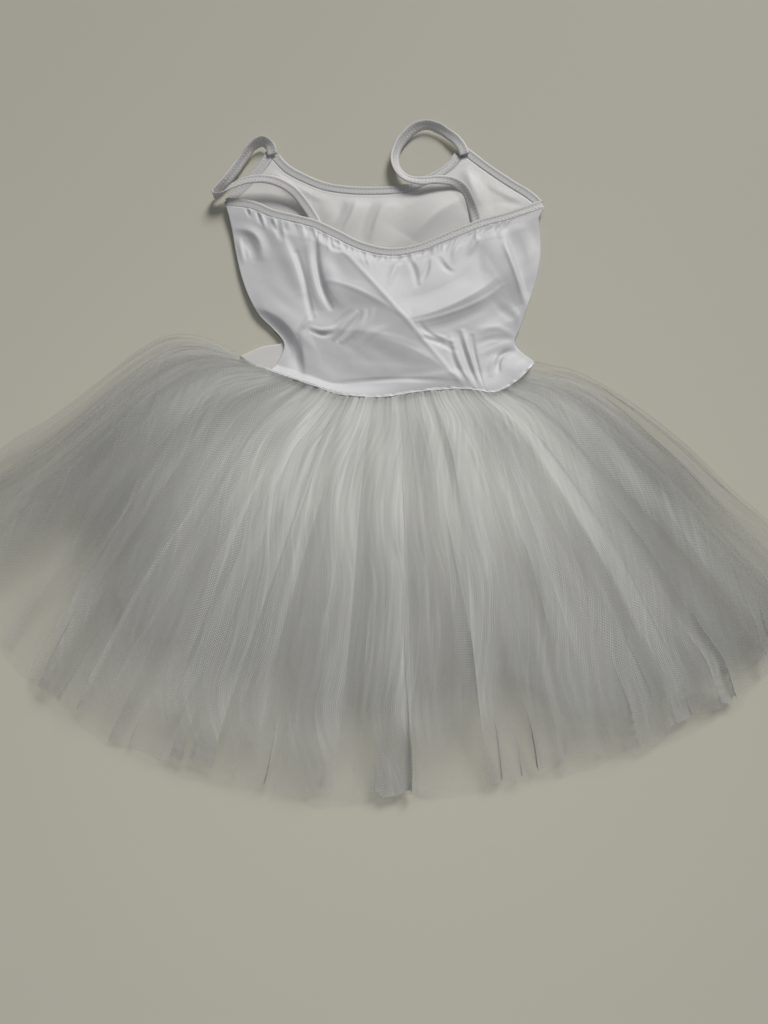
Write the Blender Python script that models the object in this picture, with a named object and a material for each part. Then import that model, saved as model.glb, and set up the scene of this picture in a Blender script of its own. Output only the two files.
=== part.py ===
"""A child's ballet tutu dress, lying flat with its back upwards.

The bodice is a front panel on the ground and a back panel on top of it, edged with
narrow bindings and carried by two strap bands. The skirt is three tulle tubes, one
inside the other, each cut as a front and a back breadth that are gathered into the
waist. Units are metres, +Z up, +Y towards the neck and +X to the wearer's right.
Tables are in millimetres, measured from the middle of the back waist seam.
"""

import bmesh
import bpy
import numpy as np

MM = 0.001

# Cloth
JERSEY_WALL = 0.0011
TULLE_WALL = 0.0012
SEAM_GAP = 0.0004

# Bindings and straps
BINDING_WIDTH = 0.0065
BINDING_THICKNESS = 0.0021
STRAP_WIDTH = 0.0066
STRAP_THICKNESS = 0.0018
FRONT_NECK_TRIM = 0.0055    # the neck binding ends beside the armhole bindings
EDGE_INSET = BINDING_WIDTH / 2 + SEAM_GAP     # from a binding's middle to its panel's edge

# Bodice heights; shares run from 0 at the waist to 1 at the neck
BODICE_PACKED = 0.0016      # the back panel's height where it lies on the front panel
BODICE_LOFT = 0.0016        # how far its middle stands up
LOFT_RISE = 0.16            # the share of the width over which it does
NECK_SEAT = 0.0004          # the panel's edge above the underside of its binding
WAIST_SLOPE = 0.16          # the share that slopes down from the waist seam
NECK_SLOPE = (0.80, 0.97)   # the shares between which the panel rises to its binding
FOLD_END = (0.86, 0.95)     # the shares between which its large folds die out
SIDE_CALM = 0.07            # the share of the width in which folds flatten to the side seams
NECK_GATHER = 0.0011        # depth of the small gathers below the back binding
FOLD_POINTS = 25            # points along the bent line of a fold
FOLD_TAPER = (0.12, 0.88)   # the shares of a half wave that a fold's height follows along it
GATHER_START = (0.74, 0.87)
GATHER_END = (0.95, 0.975)
UNDERARM_SHARE = 0.72       # the armhole's first point along the front panel's sides
FRONT_FOLD_START = (0.62, 0.72)
FRONT_FOLD_END = (0.90, 0.97)
FRONT_SIDE_CALM = 0.10

# Skirt heights; shares run from 0 at the waist to 1 at the hem
PACKED_PITCH = 0.0016       # one breadth to the next where they are sewn together
HEM_REST = 0.0042           # the top hem where it comes down over the lowest breadth
LOFT_FULL = 0.24            # the share at which the breadths stand at their full height
LOFT_FALL = 0.50            # the share from which they sink again towards the hem
LOFT_AT_HEM = 0.5
SIDE_TAPER = 0.10           # the share of the width over which they sink to the sides
SIDE_LOFT = 0.25
WAIST_REST = 0.08           # the share in which the top breadth stays on the sewn stack
GROUND_WAVE_START = 0.91    # where the lowest breadth leaves the ground in waves
GROUND_WAVE_SIDE = 0.03
TOP_WAVE_SIDE = 0.06
TOP_WAVE_LEAST = 0.35       # how much of the top folds' depth is left at the sides
GATHER_DEPTH = 0.2          # and at the waist seam
HEM_SWING = 0.012           # how far the hems swing in and out, and how often
HEM_SWINGS = 9
SWING_SHIFT = 0.1           # of a swing, from one breadth to the next
SWING_START = 0.5           # the share from which the swing grows towards the hem
COLUMNS_PER_FOLD = 4
FOLD_WIDTH_SPREAD = 0.55
SHALLOWEST_FOLD = 0.35
SIDE_BULGE_POWER = 4.0      # how quickly the bulge of the side edges fades inwards
CORNER_POWER = 10           # how close to a corner a side line bends to meet the other edge

WHITE_JERSEY = (0.80, 0.81, 0.84)
WHITE_TULLE = (0.72, 0.72, 0.72)


def table(columns, *rows):
    """Return a dictionary of one array for each named column."""
    return dict(zip(columns.split(), np.array(rows, dtype=float).T))


WAIST = table(
    "x y",
    (-99, 31), (-94, 26.5), (-86, 22.5), (-67, 15), (-50, 9), (-29, 2), (-4, 0),
    (23, 4), (53, 6), (72, 3.5), (85, 11), (94, 19), (99, 25),
)

BACK_LEFT = table(
    "share x y",
    (0.00, -77, 19), (0.09, -71.5, 29), (0.18, -69, 40), (0.27, -77, 51), (0.36, -86, 60),
    (0.46, -93, 72), (0.60, -100, 90), (0.74, -105, 110), (0.88, -109, 131), (1.00, -113, 149),
)

BACK_RIGHT = table(
    "share x y",
    (0.00, 99, 25), (0.09, 91, 33), (0.18, 87, 41), (0.27, 91, 51), (0.38, 96, 65),
    (0.52, 103, 85), (0.68, 108, 108), (0.84, 108, 126), (0.93, 107.5, 138), (1.00, 111, 147),
)

FRONT_LEFT = table(
    "share x y",
    (0.00, -99, 31), (0.07, -85, 38), (0.14, -70, 42), (0.20, -78, 52), (0.27, -88, 63),
    (0.38, -97, 82), (0.50, -104, 105), (0.60, -108, 127), (0.68, -111, 144),
)

FRONT_RIGHT = table(
    "share x y",
    (0.00, 99, 25), (0.07, 91, 33), (0.14, 87, 41), (0.20, 91, 51), (0.28, 96, 65),
    (0.38, 103, 85), (0.50, 107.5, 108), (0.60, 107.5, 127), (0.68, 108.5, 141),
)

# Each edge that is bound: its middle line, and the height of the underside of its binding.
BACK_NECK = table(
    "x y z",
    (-113, 149, 2.6), (-95, 146, 3.4), (-79, 138.5, 3.9), (-64, 134.5, 4.0), (-52, 131, 4.0),
    (-36, 123, 3.9), (-18, 113.5, 3.6), (3, 108.5, 3.5), (24, 112, 3.6), (39, 118.5, 3.8),
    (57, 126.5, 4.0), (69, 131.5, 4.0), (84, 136, 3.8), (103, 143.5, 3.2), (111, 147, 2.6),
)

FRONT_NECK = table(
    "x y z",
    (-83, 192, 0), (-71, 178, 0), (-58, 170, 0), (-45, 164, 0), (-30, 161, 0), (-8, 160, 0),
    (13, 162, 0), (33, 171, 0), (47, 182, 0), (55, 194, 0),
)

ARM_LEFT = table("x y z", (-112, 151, 0), (-101, 165, 0), (-90, 180, 0), (-83, 193, 0))
ARM_RIGHT = table(
    "x y z", (110, 149, 0), (102, 157, 0), (89, 166.5, 0), (77, 176, 0), (66, 185.5, 0), (56, 195, 0),
)

# Where the inner edges of the neck and armhole bindings meet at the front corners.
CORNER_LEFT = (-82.6, 186.0)
CORNER_RIGHT = (56.4, 189.4)

# The middle line of each strap from the front corner to the back edge; roll turns the band
# about its length, so that it stands on edge where it doubles back.
STRAP_LEFT = table(
    "x y z roll",
    (-82, 189, 3.6, 0), (-84, 195.5, 4.1, 15), (-89, 198.5, 4.6, 50), (-95, 195.5, 4.7, 60),
    (-101, 187, 4.4, 50), (-108, 175, 4.3, 45), (-115, 164, 4.7, 60), (-120, 158, 5.0, 80),
    (-122.4, 155, 5.2, 90), (-121.2, 152.4, 5.6, 90), (-117, 153.2, 6.3, 75),
    (-110, 157.6, 8.4, 35), (-97, 162.5, 9.6, 10), (-80, 162.5, 9.2, 0), (-66, 156, 6.8, 0),
    (-57, 146, 3.9, 0), (-51, 136.5, 2.5, 0), (-48.5, 130.5, 2.5, 0),
)

STRAP_RIGHT = table(
    "x y z roll",
    (57, 189, 3.6, 0), (55, 195, 3.7, 0), (51, 200.5, 3.6, 10), (45, 206, 3.4, 20),
    (38, 211, 3.4, 30), (30, 213.5, 3.6, 35), (22, 211, 3.8, 35), (14, 203.5, 3.8, 35),
    (8.5, 194, 3.8, 35), (6.5, 184, 4.0, 30), (8.5, 175, 4.7, 25), (15, 167.5, 5.2, 15),
    (25, 165, 5.4, 5), (37, 166, 5.2, 0), (48, 164.5, 4.8, -10), (55.5, 158, 4.6, -30),
    (59.5, 149, 4.4, -35), (62.5, 140, 3.4, -15), (64.5, 133, 2.5, 0), (66, 128.5, 2.5, 0),
)

# Folds of the back panel: a ridge along a bent line, its half width on its left and on its
# right hand and its height. A small half width makes that side steep.
BACK_FOLDS = table(
    "x1 y1 x2 y2 x3 y3 left right height",
    (-36, 118, -6, 85, 24, 50, 4, 15, 3.6),
    (24, 50, 44, 34, 63, 5, 5, 14, 3.0),
    (-41, 92, -17, 78, 8, 62, 10, 6, 3.2),
    (-92, 74, -78, 56, -68, 38, 9, 7, 5.0),
    (-68, 38, -67, 30, -70, 20, 5, 6, 3.6),
    (-83, 122, -70, 110, -62, 90, 9, 6, 3.2),
    (-58, 122, -52, 95, -42, 64, 5, 5, 3.6),
    (10, 104, 36, 82, 62, 76, 20, 17, 5.4),
    (19, 55, 52, 60, 88, 86, 9, 6, 2.6),
    (84, 124, 88, 100, 97, 70, 6, 6, 3.6),
    (49, 48, 55, 20, 64, 6, 5, 5, 2.4),
    (60, 46, 64, 28, 68, 6, 4, 4, 2.2),
    (88, 46, 82, 32, 76, 22, 4, 5, 2.4),
    (-40, 40, 0, 28, 44, 22, 12, 14, 2.2),
)

FRONT_FOLDS = table(
    "x1 y1 x2 y2 x3 y3 left right height",
    (-31, 152, -34, 140, -40, 126, 5, 7, 1.4),
    (-9, 152, -12, 138, -15, 122, 5, 6, 1.2),
    (74, 171, 88, 160, 100, 154, 6, 6, 2.0),
)

SKIRT_LEFT = table(
    "share x y",
    (0.00, -99, 31), (0.07, -112, 40), (0.15, -127, 46.5), (0.27, -150, 47), (0.37, -168, 36),
    (0.52, -192, 14), (0.70, -223, -13), (0.86, -252, -33), (1.00, -276, -61),
)

SKIRT_RIGHT = table(
    "share x y",
    (0.00, 99, 25), (0.12, 124, 22), (0.30, 156, 4), (0.55, 194, -28), (0.78, 226, -64),
    (0.90, 245, -83), (1.00, 262, -106),
)

HEM = table(
    "share x y",
    (0.00, -276, -61), (0.06, -271, -106), (0.13, -239, -159), (0.20, -201, -195),
    (0.29, -150, -224), (0.37, -100, -241), (0.45, -45, -251), (0.53, 8, -250),
    (0.62, 67, -243), (0.71, 123, -231), (0.79, 176, -215), (0.87, 222, -189),
    (0.94, 252, -148), (1.00, 262, -106),
)

# The six breadths from the ground up: how far down and how far across each one reaches, its
# loft over the packed stack, and the count, depth and seed of its folds.
BREADTHS = (
    {"name": "skirt_outer_front", "reach": 1.00, "inset": 0.000, "loft": 0.0000,
     "folds": 12, "depth": 0.0022, "seed": 11, "rows": (0, 0.12, 0.24, 0.36, 0.52, 0.72, 0.91, 1)},
    {"name": "skirt_middle_front", "reach": 0.90, "inset": 0.030, "loft": 0.0004,
     "folds": 10, "depth": 0.0010, "seed": 12, "rows": (0, 0.12, 0.24, 0.52, 1)},
    {"name": "skirt_inner_front", "reach": 0.77, "inset": 0.055, "loft": 0.0020,
     "folds": 8, "depth": 0.0010, "seed": 13, "rows": (0, 0.24, 0.52, 1)},
    {"name": "skirt_inner_back", "reach": 0.76, "inset": 0.060, "loft": 0.0054,
     "folds": 16, "depth": 0.0028, "seed": 14, "rows": (0, 0.08, 0.24, 0.52, 1)},
    {"name": "skirt_middle_back", "reach": 0.88, "inset": 0.035, "loft": 0.0100,
     "folds": 22, "depth": 0.0034, "seed": 15, "rows": (0, 0.08, 0.24, 0.36, 0.52, 0.76, 1)},
    {"name": "skirt_outer_back", "reach": 0.985, "inset": 0.004, "loft": 0.0152,
     "folds": 32, "depth": 0.0062, "seed": 16, "rows": (0, 0.08, 0.16, 0.24, 0.36, 0.52, 0.76, 0.90, 1)},
)

BODICE_BACK_GRID = (38, 17)
BODICE_FRONT_GRID = (22, 13)

# One band section, in half widths and half thicknesses: flat below, with a shallow groove
# between two ridges above.
BAND_SECTION = table(
    "side up", (-0.84, -1), (0.84, -1), (1, 0), (0.62, 1), (0, 0.5), (-0.62, 1), (-1, 0),
)


def smooth_step(low, high, value):
    """Return 0 below low and 1 above high, with a soft ramp between them."""
    share = np.clip((value - low) / (high - low), 0.0, 1.0)
    return share * share * (3.0 - 2.0 * share)


def chord_shares(points):
    """Return each point's share of the length of the line through all the points."""
    steps = np.linalg.norm(np.diff(points, axis=0), axis=1)
    lengths = np.concatenate(([0.0], np.cumsum(steps)))
    return lengths / lengths[-1]


def smooth_line(rows, shares, columns="x y"):
    """Return points on the smooth curve through a table's rows, at the shares given."""
    points = np.stack([rows[name] for name in columns.split()], axis=1)
    stations = rows["share"] if "share" in rows else chord_shares(points[:, :2])
    slopes = np.gradient(points, stations, axis=0)
    shares = np.clip(np.asarray(shares, dtype=float), 0.0, 1.0)
    index = np.clip(np.searchsorted(stations, shares, side="right") - 1, 0, len(stations) - 2)
    span = stations[index + 1] - stations[index]
    t = ((shares - stations[index]) / span)[..., None]
    span = span[..., None]
    start = (2 * t**3 - 3 * t**2 + 1) * points[index]
    start_slope = (t**3 - 2 * t**2 + t) * span * slopes[index]
    end = (3 * t**2 - 2 * t**3) * points[index + 1]
    end_slope = (t**3 - t**2) * span * slopes[index + 1]
    return start + start_slope + end + end_slope


def beside(rows, distance):
    """Return a table of the line that runs at a distance to the right of a table's line."""
    points = np.stack((rows["x"], rows["y"]), axis=1)
    along = np.gradient(points, chord_shares(points), axis=0)
    along /= np.linalg.norm(along, axis=1, keepdims=True)
    return {"x": points[:, 0] + distance * along[:, 1], "y": points[:, 1] - distance * along[:, 0]}


def between(bottom, top, left, right, u, v, side_power=1.0):
    """Blend four edge curves into a surface over the grid of u across and v along."""
    across_bottom = smooth_line(bottom, u)
    across_top = smooth_line(top, u)
    ruled = across_bottom + v[..., None] * (across_top - across_bottom)
    for side, corner, weight in ((left, 0.0, (1 - u) ** side_power), (right, 1.0, u**side_power)):
        low_corner = smooth_line(bottom, [corner])[0]
        high_corner = smooth_line(top, [corner])[0]
        line = smooth_line(side, v)
        line = line + v[..., None] ** CORNER_POWER * (high_corner - smooth_line(side, [1.0])[0])
        line = line + (1 - v[..., None]) ** CORNER_POWER * (low_corner - smooth_line(side, [0.0])[0])
        straight = low_corner + v[..., None] * (high_corner - low_corner)
        ruled = ruled + weight[..., None] * (line - straight)
    return ruled


def fold_height(plan, folds):
    """Return the height, in millimetres, that the table's folds give at each plan point."""
    height = np.zeros(plan.shape[:-1])
    share = np.linspace(0.0, 1.0, FOLD_POINTS)[:, None]
    for row in zip(*folds.values()):
        fold = dict(zip(folds, row))
        ends = [np.array((fold["x" + n], fold["y" + n])) for n in "123"]
        line = (1 - share) ** 2 * ends[0] + 2 * share * (1 - share) * (2 * ends[1] - (ends[0] + ends[2]) / 2)
        line = line + share**2 * ends[2]
        away = plan[..., None, :] - line
        distance = np.linalg.norm(away, axis=-1)
        nearest = distance.argmin(axis=-1)
        offset = np.take_along_axis(away, nearest[..., None, None], axis=-2)[..., 0, :]
        heading = np.gradient(line, axis=0)[nearest]
        on_left = heading[..., 0] * offset[..., 1] - heading[..., 1] * offset[..., 0] > 0
        half_width = np.where(on_left, fold["left"], fold["right"])
        low, high = FOLD_TAPER
        taper = np.sin(np.pi * (low + (high - low) * nearest / (FOLD_POINTS - 1)))
        profile = np.exp(-(distance.min(axis=-1) / half_width) ** 2)
        height = np.maximum(height, fold["height"] * taper * profile)
    return height


def new_material(name, colour, roughness):
    """Return a plain cloth material."""
    material = bpy.data.materials.new(name)
    material.use_nodes = True
    shader = material.node_tree.nodes["Principled BSDF"]
    shader.inputs["Base Color"].default_value = (*colour, 1.0)
    shader.inputs["Roughness"].default_value = roughness
    shader.inputs["Metallic"].default_value = 0.0
    material.diffuse_color = (*colour, 1.0)
    return material


def new_object(name, vertices, faces, material):
    """Make one closed solid with its faces outwards and smooth shading."""
    mesh = bpy.data.meshes.new(name)
    mesh.from_pydata(vertices.tolist(), [], faces)
    work = bmesh.new()
    work.from_mesh(mesh)
    bmesh.ops.recalc_face_normals(work, faces=work.faces)
    work.to_mesh(mesh)
    work.free()
    mesh.materials.append(material)
    mesh.shade_smooth()
    mesh.set_sharp_from_angle(angle=np.radians(50))
    solid = bpy.data.objects.new(name, mesh)
    bpy.context.scene.collection.objects.link(solid)
    return solid


def grid_faces(columns, rows, first, turned):
    """Return the quads of a grid of points that is stored row by row."""
    faces = []
    for row in range(rows - 1):
        for column in range(columns - 1):
            corner = first + row * columns + column
            face = (corner, corner + 1, corner + columns + 1, corner + columns)
            faces.append(face[::-1] if turned else face)
    return faces


def rim_faces(columns, rows):
    """Return the quads that join the edges of an under and an upper grid."""
    last = (rows - 1) * columns
    around = list(range(columns))
    around += [row * columns + columns - 1 for row in range(1, rows)]
    around += [last + column for column in range(columns - 2, -1, -1)]
    around += [row * columns for row in range(rows - 2, 0, -1)]
    count = columns * rows
    following = around[1:] + around[:1]
    return [(a, b, b + count, a + count) for a, b in zip(around, following)]


def cloth_panel(name, plan, under, wall, material):
    """Make a cloth wall from its plan points (in mm) and the height of its underside."""
    rows, columns = under.shape
    flat = plan.reshape(-1, 2) * MM
    low = np.column_stack((flat, under.ravel()))
    high = np.column_stack((flat, under.ravel() + wall))
    faces = grid_faces(columns, rows, 0, True)
    faces += grid_faces(columns, rows, columns * rows, False)
    faces += rim_faces(columns, rows)
    return new_object(name, np.concatenate((low, high)), faces, material)


def band(name, path, rolls, width, thickness, material):
    """Sweep the band section along a path, turned about the path by the rolls (degrees)."""
    along = np.gradient(path, axis=0)
    along /= np.linalg.norm(along, axis=1, keepdims=True)
    side = np.cross(along, (0.0, 0.0, 1.0))
    side /= np.linalg.norm(side, axis=1, keepdims=True)
    up = np.cross(side, along)
    turn = np.radians(rolls)[:, None]
    rolled_side = side * np.cos(turn) + up * np.sin(turn)
    rolled_up = up * np.cos(turn) - side * np.sin(turn)
    across = BAND_SECTION["side"] * width / 2
    above = BAND_SECTION["up"] * thickness / 2
    rings = path[:, None] + across[:, None] * rolled_side[:, None] + above[:, None] * rolled_up[:, None]
    stations, corners = rings.shape[:2]
    faces = [tuple(range(corners)), tuple(range((stations - 1) * corners, stations * corners))]
    for station in range(stations - 1):
        for corner in range(corners):
            here = station * corners + corner
            beside = station * corners + (corner + 1) % corners
            faces.append((here, beside, beside + corners, here + corners))
    return new_object(name, rings.reshape(-1, 3), faces, material)


def binding(name, rows, stations, trim, material):
    """Make the flat binding of one edge, with a length trimmed off both its ends."""
    points = np.stack((rows["x"], rows["y"]), axis=1) * MM
    length = np.linalg.norm(np.diff(points, axis=0), axis=1).sum()
    shares = np.linspace(trim / length, 1 - trim / length, stations)
    path = smooth_line(rows, shares, "x y z") * MM
    path[:, 2] += BINDING_THICKNESS / 2
    return band(name, path, np.zeros(stations), BINDING_WIDTH, BINDING_THICKNESS, material)


def strap(name, rows, stations, material):
    """Make one strap band."""
    line = smooth_line(rows, np.linspace(0, 1, stations), "x y z roll")
    return band(name, line[:, :3] * MM, line[:, 3], STRAP_WIDTH, STRAP_THICKNESS, material)


def panel_shares(grid, bottom, top):
    """Return the u and v of a panel's grid, which starts just above the waist seam."""
    columns, rows = grid
    u, v = np.meshgrid(np.linspace(0, 1, columns + 1), np.linspace(0, 1, rows + 1))
    length = np.linalg.norm(smooth_line(top, u[0]) - smooth_line(bottom, u[0]), axis=1) * MM
    start = SEAM_GAP / length
    return u, start + v * (1 - start)


def waist_from(first_x):
    """Return a table of the part of the waist line that lies to the right of first_x."""
    shares = np.linspace(0, 1, 201)
    first = np.interp(first_x, smooth_line(WAIST, shares)[:, 0], shares)
    line = smooth_line(WAIST, np.linspace(first, 1, 2 * len(WAIST["x"])))
    return {"x": line[:, 0], "y": line[:, 1]}


def bodice_back(material):
    """Make the back panel: it slopes down from the waist seam and has the large folds."""
    bottom = waist_from(BACK_LEFT["x"][0])
    top = beside(BACK_NECK, EDGE_INSET / MM)
    u, v = panel_shares(BODICE_BACK_GRID, bottom, top)
    plan = between(bottom, top, BACK_LEFT, BACK_RIGHT, u, v)
    waist_height = PACKED_PITCH * (len(BREADTHS) - 1)
    neck_height = smooth_line(BACK_NECK, u[0], "x y z")[:, 2] * MM + NECK_SEAT
    from_side = np.minimum(u, 1 - u)
    inside = smooth_step(0, LOFT_RISE, from_side)
    above_waist = smooth_step(0, WAIST_SLOPE, v)
    base = BODICE_PACKED + BODICE_LOFT * inside
    base = base + (waist_height - base) * (1 - above_waist)
    base = base + (neck_height - base) * smooth_step(*NECK_SLOPE, v)
    quiet = above_waist * (1 - smooth_step(*FOLD_END, v)) * smooth_step(-SIDE_CALM, SIDE_CALM, from_side)
    folds = fold_height(plan, BACK_FOLDS) * MM * quiet
    every_other = np.arange(u.shape[1]) % 2
    below_binding = smooth_step(*GATHER_START, v) * (1 - smooth_step(*GATHER_END, v)) * inside
    under = base + folds + NECK_GATHER * every_other * below_binding
    return cloth_panel("bodice_back", plan, under, JERSEY_WALL, material)


def side_and_armhole(side, armhole, distance, corner):
    """Return the table of a side seam that goes on along its armhole to the front corner."""
    edge = beside(armhole, distance)
    edge["x"][-1], edge["y"][-1] = corner
    shares = UNDERARM_SHARE + (1 - UNDERARM_SHARE) * np.linspace(0, 1, len(edge["x"]))
    return {
        "share": np.append(side["share"], shares),
        "x": np.append(side["x"], edge["x"]),
        "y": np.append(side["y"], edge["y"]),
    }


def bodice_front(material):
    """Make the front panel: flat on the ground, with a few soft folds inside the neck."""
    inset = EDGE_INSET / MM
    left = side_and_armhole(FRONT_LEFT, ARM_LEFT, inset, CORNER_LEFT)
    right = side_and_armhole(FRONT_RIGHT, ARM_RIGHT, -inset, CORNER_RIGHT)
    top = beside(FRONT_NECK, inset)
    for end, corner in ((0, CORNER_LEFT), (-1, CORNER_RIGHT)):
        top["x"][end], top["y"][end] = corner
    u, v = panel_shares(BODICE_FRONT_GRID, WAIST, top)
    plan = between(WAIST, top, left, right, u, v)
    clear = smooth_step(*FRONT_FOLD_START, v) * (1 - smooth_step(*FRONT_FOLD_END, v))
    clear = clear * smooth_step(0, FRONT_SIDE_CALM, np.minimum(u, 1 - u))
    under = fold_height(plan, FRONT_FOLDS) * MM * clear
    return cloth_panel("bodice_front", plan, under, JERSEY_WALL, material)


def fold_columns(breadth):
    """Return u and a wave from 0 to 1 at each column, for folds of uneven width and depth."""
    rng = np.random.default_rng(breadth["seed"])
    widths = 1 + FOLD_WIDTH_SPREAD * rng.uniform(-1, 1, breadth["folds"])
    depths = rng.uniform(SHALLOWEST_FOLD, 1.0, breadth["folds"])
    edges = np.concatenate(([0], np.cumsum(widths))) / widths.sum()
    quarter = np.arange(COLUMNS_PER_FOLD) / COLUMNS_PER_FOLD
    u = (edges[:-1, None] + np.diff(edges)[:, None] * quarter).ravel()
    wave = (depths[:, None] * (0.5 - 0.5 * np.cos(2 * np.pi * quarter))).ravel()
    u = np.append(u, 1.0)
    wave = np.append(wave, 0.0)
    return breadth["inset"] + u * (1 - 2 * breadth["inset"]), wave


def skirt_breadth(level, material):
    """Make one breadth of the skirt at its level in the stack of six."""
    breadth = BREADTHS[level]
    columns, wave = fold_columns(breadth)
    rows = np.array(breadth["rows"], dtype=float)
    rows = np.where(rows < 1, rows, breadth["reach"])
    u, v = np.meshgrid(columns, rows)
    swing = HEM_SWING * np.sin(2 * np.pi * (HEM_SWINGS * u + SWING_SHIFT * level))
    swing = swing * smooth_step(SWING_START, 1, v)
    plan = between(WAIST, HEM, SKIRT_LEFT, SKIRT_RIGHT, u, v * (1 + swing), SIDE_BULGE_POWER)
    plan[0, :, 1] -= SEAM_GAP / MM / 2
    from_side = np.minimum(u, 1 - u)
    loft = smooth_step(0, LOFT_FULL, v) * (1 - (1 - LOFT_AT_HEM) * smooth_step(LOFT_FALL, 1, v))
    loft = loft * (SIDE_LOFT + (1 - SIDE_LOFT) * smooth_step(0, SIDE_TAPER, from_side))
    base = level * PACKED_PITCH + breadth["loft"] * loft
    if level == 0:
        waves = breadth["depth"] * wave * smooth_step(GROUND_WAVE_START, 1, v)
        waves = waves * smooth_step(0, GROUND_WAVE_SIDE, from_side)
    elif level == len(BREADTHS) - 1:
        below = BREADTHS[level - 1]
        past_hem = smooth_step(below["reach"] + HEM_SWING, breadth["reach"], v)
        past_side = 1 - smooth_step(breadth["inset"], below["inset"], from_side)
        sunk = np.maximum(past_hem, past_side) * smooth_step(0, WAIST_REST, v)
        base = base + (HEM_REST - base) * sunk
        gathers = GATHER_DEPTH + (1 - GATHER_DEPTH) * smooth_step(0, LOFT_FULL, v)
        sides = TOP_WAVE_LEAST + (1 - TOP_WAVE_LEAST) * smooth_step(0, TOP_WAVE_SIDE, from_side)
        waves = breadth["depth"] * wave * gathers * sides
    else:
        waves = breadth["depth"] * wave * loft
    return cloth_panel(breadth["name"], plan, base + waves, TULLE_WALL, material)


def centre_on_origin(solids):
    """Move every solid so that the middle of the bottom of their common box is the origin."""
    points = np.array([vertex.co for solid in solids for vertex in solid.data.vertices])
    low, high = points.min(axis=0), points.max(axis=0)
    shift = np.append((low[:2] + high[:2]) / 2, low[2])
    print("middle of the waist seam, in metres:", np.round(-shift, 6))
    for solid in solids:
        for vertex in solid.data.vertices:
            vertex.co = np.array(vertex.co) - shift


def build():
    """Make the whole dress."""
    for old in list(bpy.data.objects):
        bpy.data.objects.remove(old)
    jersey = new_material("jersey", WHITE_JERSEY, 0.5)
    edging = new_material("edging", WHITE_JERSEY, 0.55)
    tulle = new_material("tulle", WHITE_TULLE, 0.7)
    solids = [bodice_front(jersey), bodice_back(jersey)]
    solids.append(binding("binding_back_neck", BACK_NECK, 40, 0, edging))
    solids.append(binding("binding_front_neck", FRONT_NECK, 26, FRONT_NECK_TRIM, edging))
    solids.append(binding("binding_arm_left", ARM_LEFT, 10, 0, edging))
    solids.append(binding("binding_arm_right", ARM_RIGHT, 12, 0, edging))
    solids.append(strap("strap_left", STRAP_LEFT, 44, edging))
    solids.append(strap("strap_right", STRAP_RIGHT, 40, edging))
    solids += [skirt_breadth(level, tulle) for level in range(len(BREADTHS))]
    centre_on_origin(solids)


build()
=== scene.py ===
import math
from functools import partial
import bpy
import numpy as np
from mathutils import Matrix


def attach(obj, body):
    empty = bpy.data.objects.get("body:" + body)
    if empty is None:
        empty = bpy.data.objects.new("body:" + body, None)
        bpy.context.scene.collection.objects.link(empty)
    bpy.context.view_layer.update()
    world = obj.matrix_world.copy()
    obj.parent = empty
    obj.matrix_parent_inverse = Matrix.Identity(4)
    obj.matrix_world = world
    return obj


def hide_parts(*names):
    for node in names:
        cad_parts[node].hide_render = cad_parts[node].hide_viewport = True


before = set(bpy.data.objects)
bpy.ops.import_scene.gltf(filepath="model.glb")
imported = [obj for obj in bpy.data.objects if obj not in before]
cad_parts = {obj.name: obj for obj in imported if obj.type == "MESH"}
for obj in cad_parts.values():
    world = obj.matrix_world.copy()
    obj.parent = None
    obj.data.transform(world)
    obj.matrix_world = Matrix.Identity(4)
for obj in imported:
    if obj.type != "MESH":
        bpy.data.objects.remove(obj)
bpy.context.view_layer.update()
mm = 0.001
waistMiddle = np.array((0.007, 0.018853, 0.0))  # the middle of the back waist seam, where the tables start
print("frame loaded:", len(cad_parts), "nodes")

studio = {
    "lens": 27.04, "sensor": 36.0, "cameraHeight": 0.480, "cameraTilt": 14.0,
    "cameraPlace": (-0.0013, -0.1967),
    "floorColour": (0.56, 0.545, 0.46), "floorRoughness": 0.75, "floorSize": 16.0, "floorHeight": -0.0004,
    "keyPlace": (0.80, 1.76, 1.22), "keyAngle": 22.0, "keyStrength": 2.65,
    "topPlace": (0.02, -0.17, 0.50), "topSize": 0.3, "topPower": 0.40,
    "lampColour": (1.0, 0.985, 0.96), "skyColour": (0.90, 0.94, 1.0), "skyStrength": 0.14,
    "layersSeen": 30, "bounces": 7, "diffuseBounces": 3, "throughBounces": 4, "glossyBounces": 2,
}


def placed(name, data):
    # a new object in the scene
    item = bpy.data.objects.new(name, data)
    bpy.context.scene.collection.objects.link(item)
    return item


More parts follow.
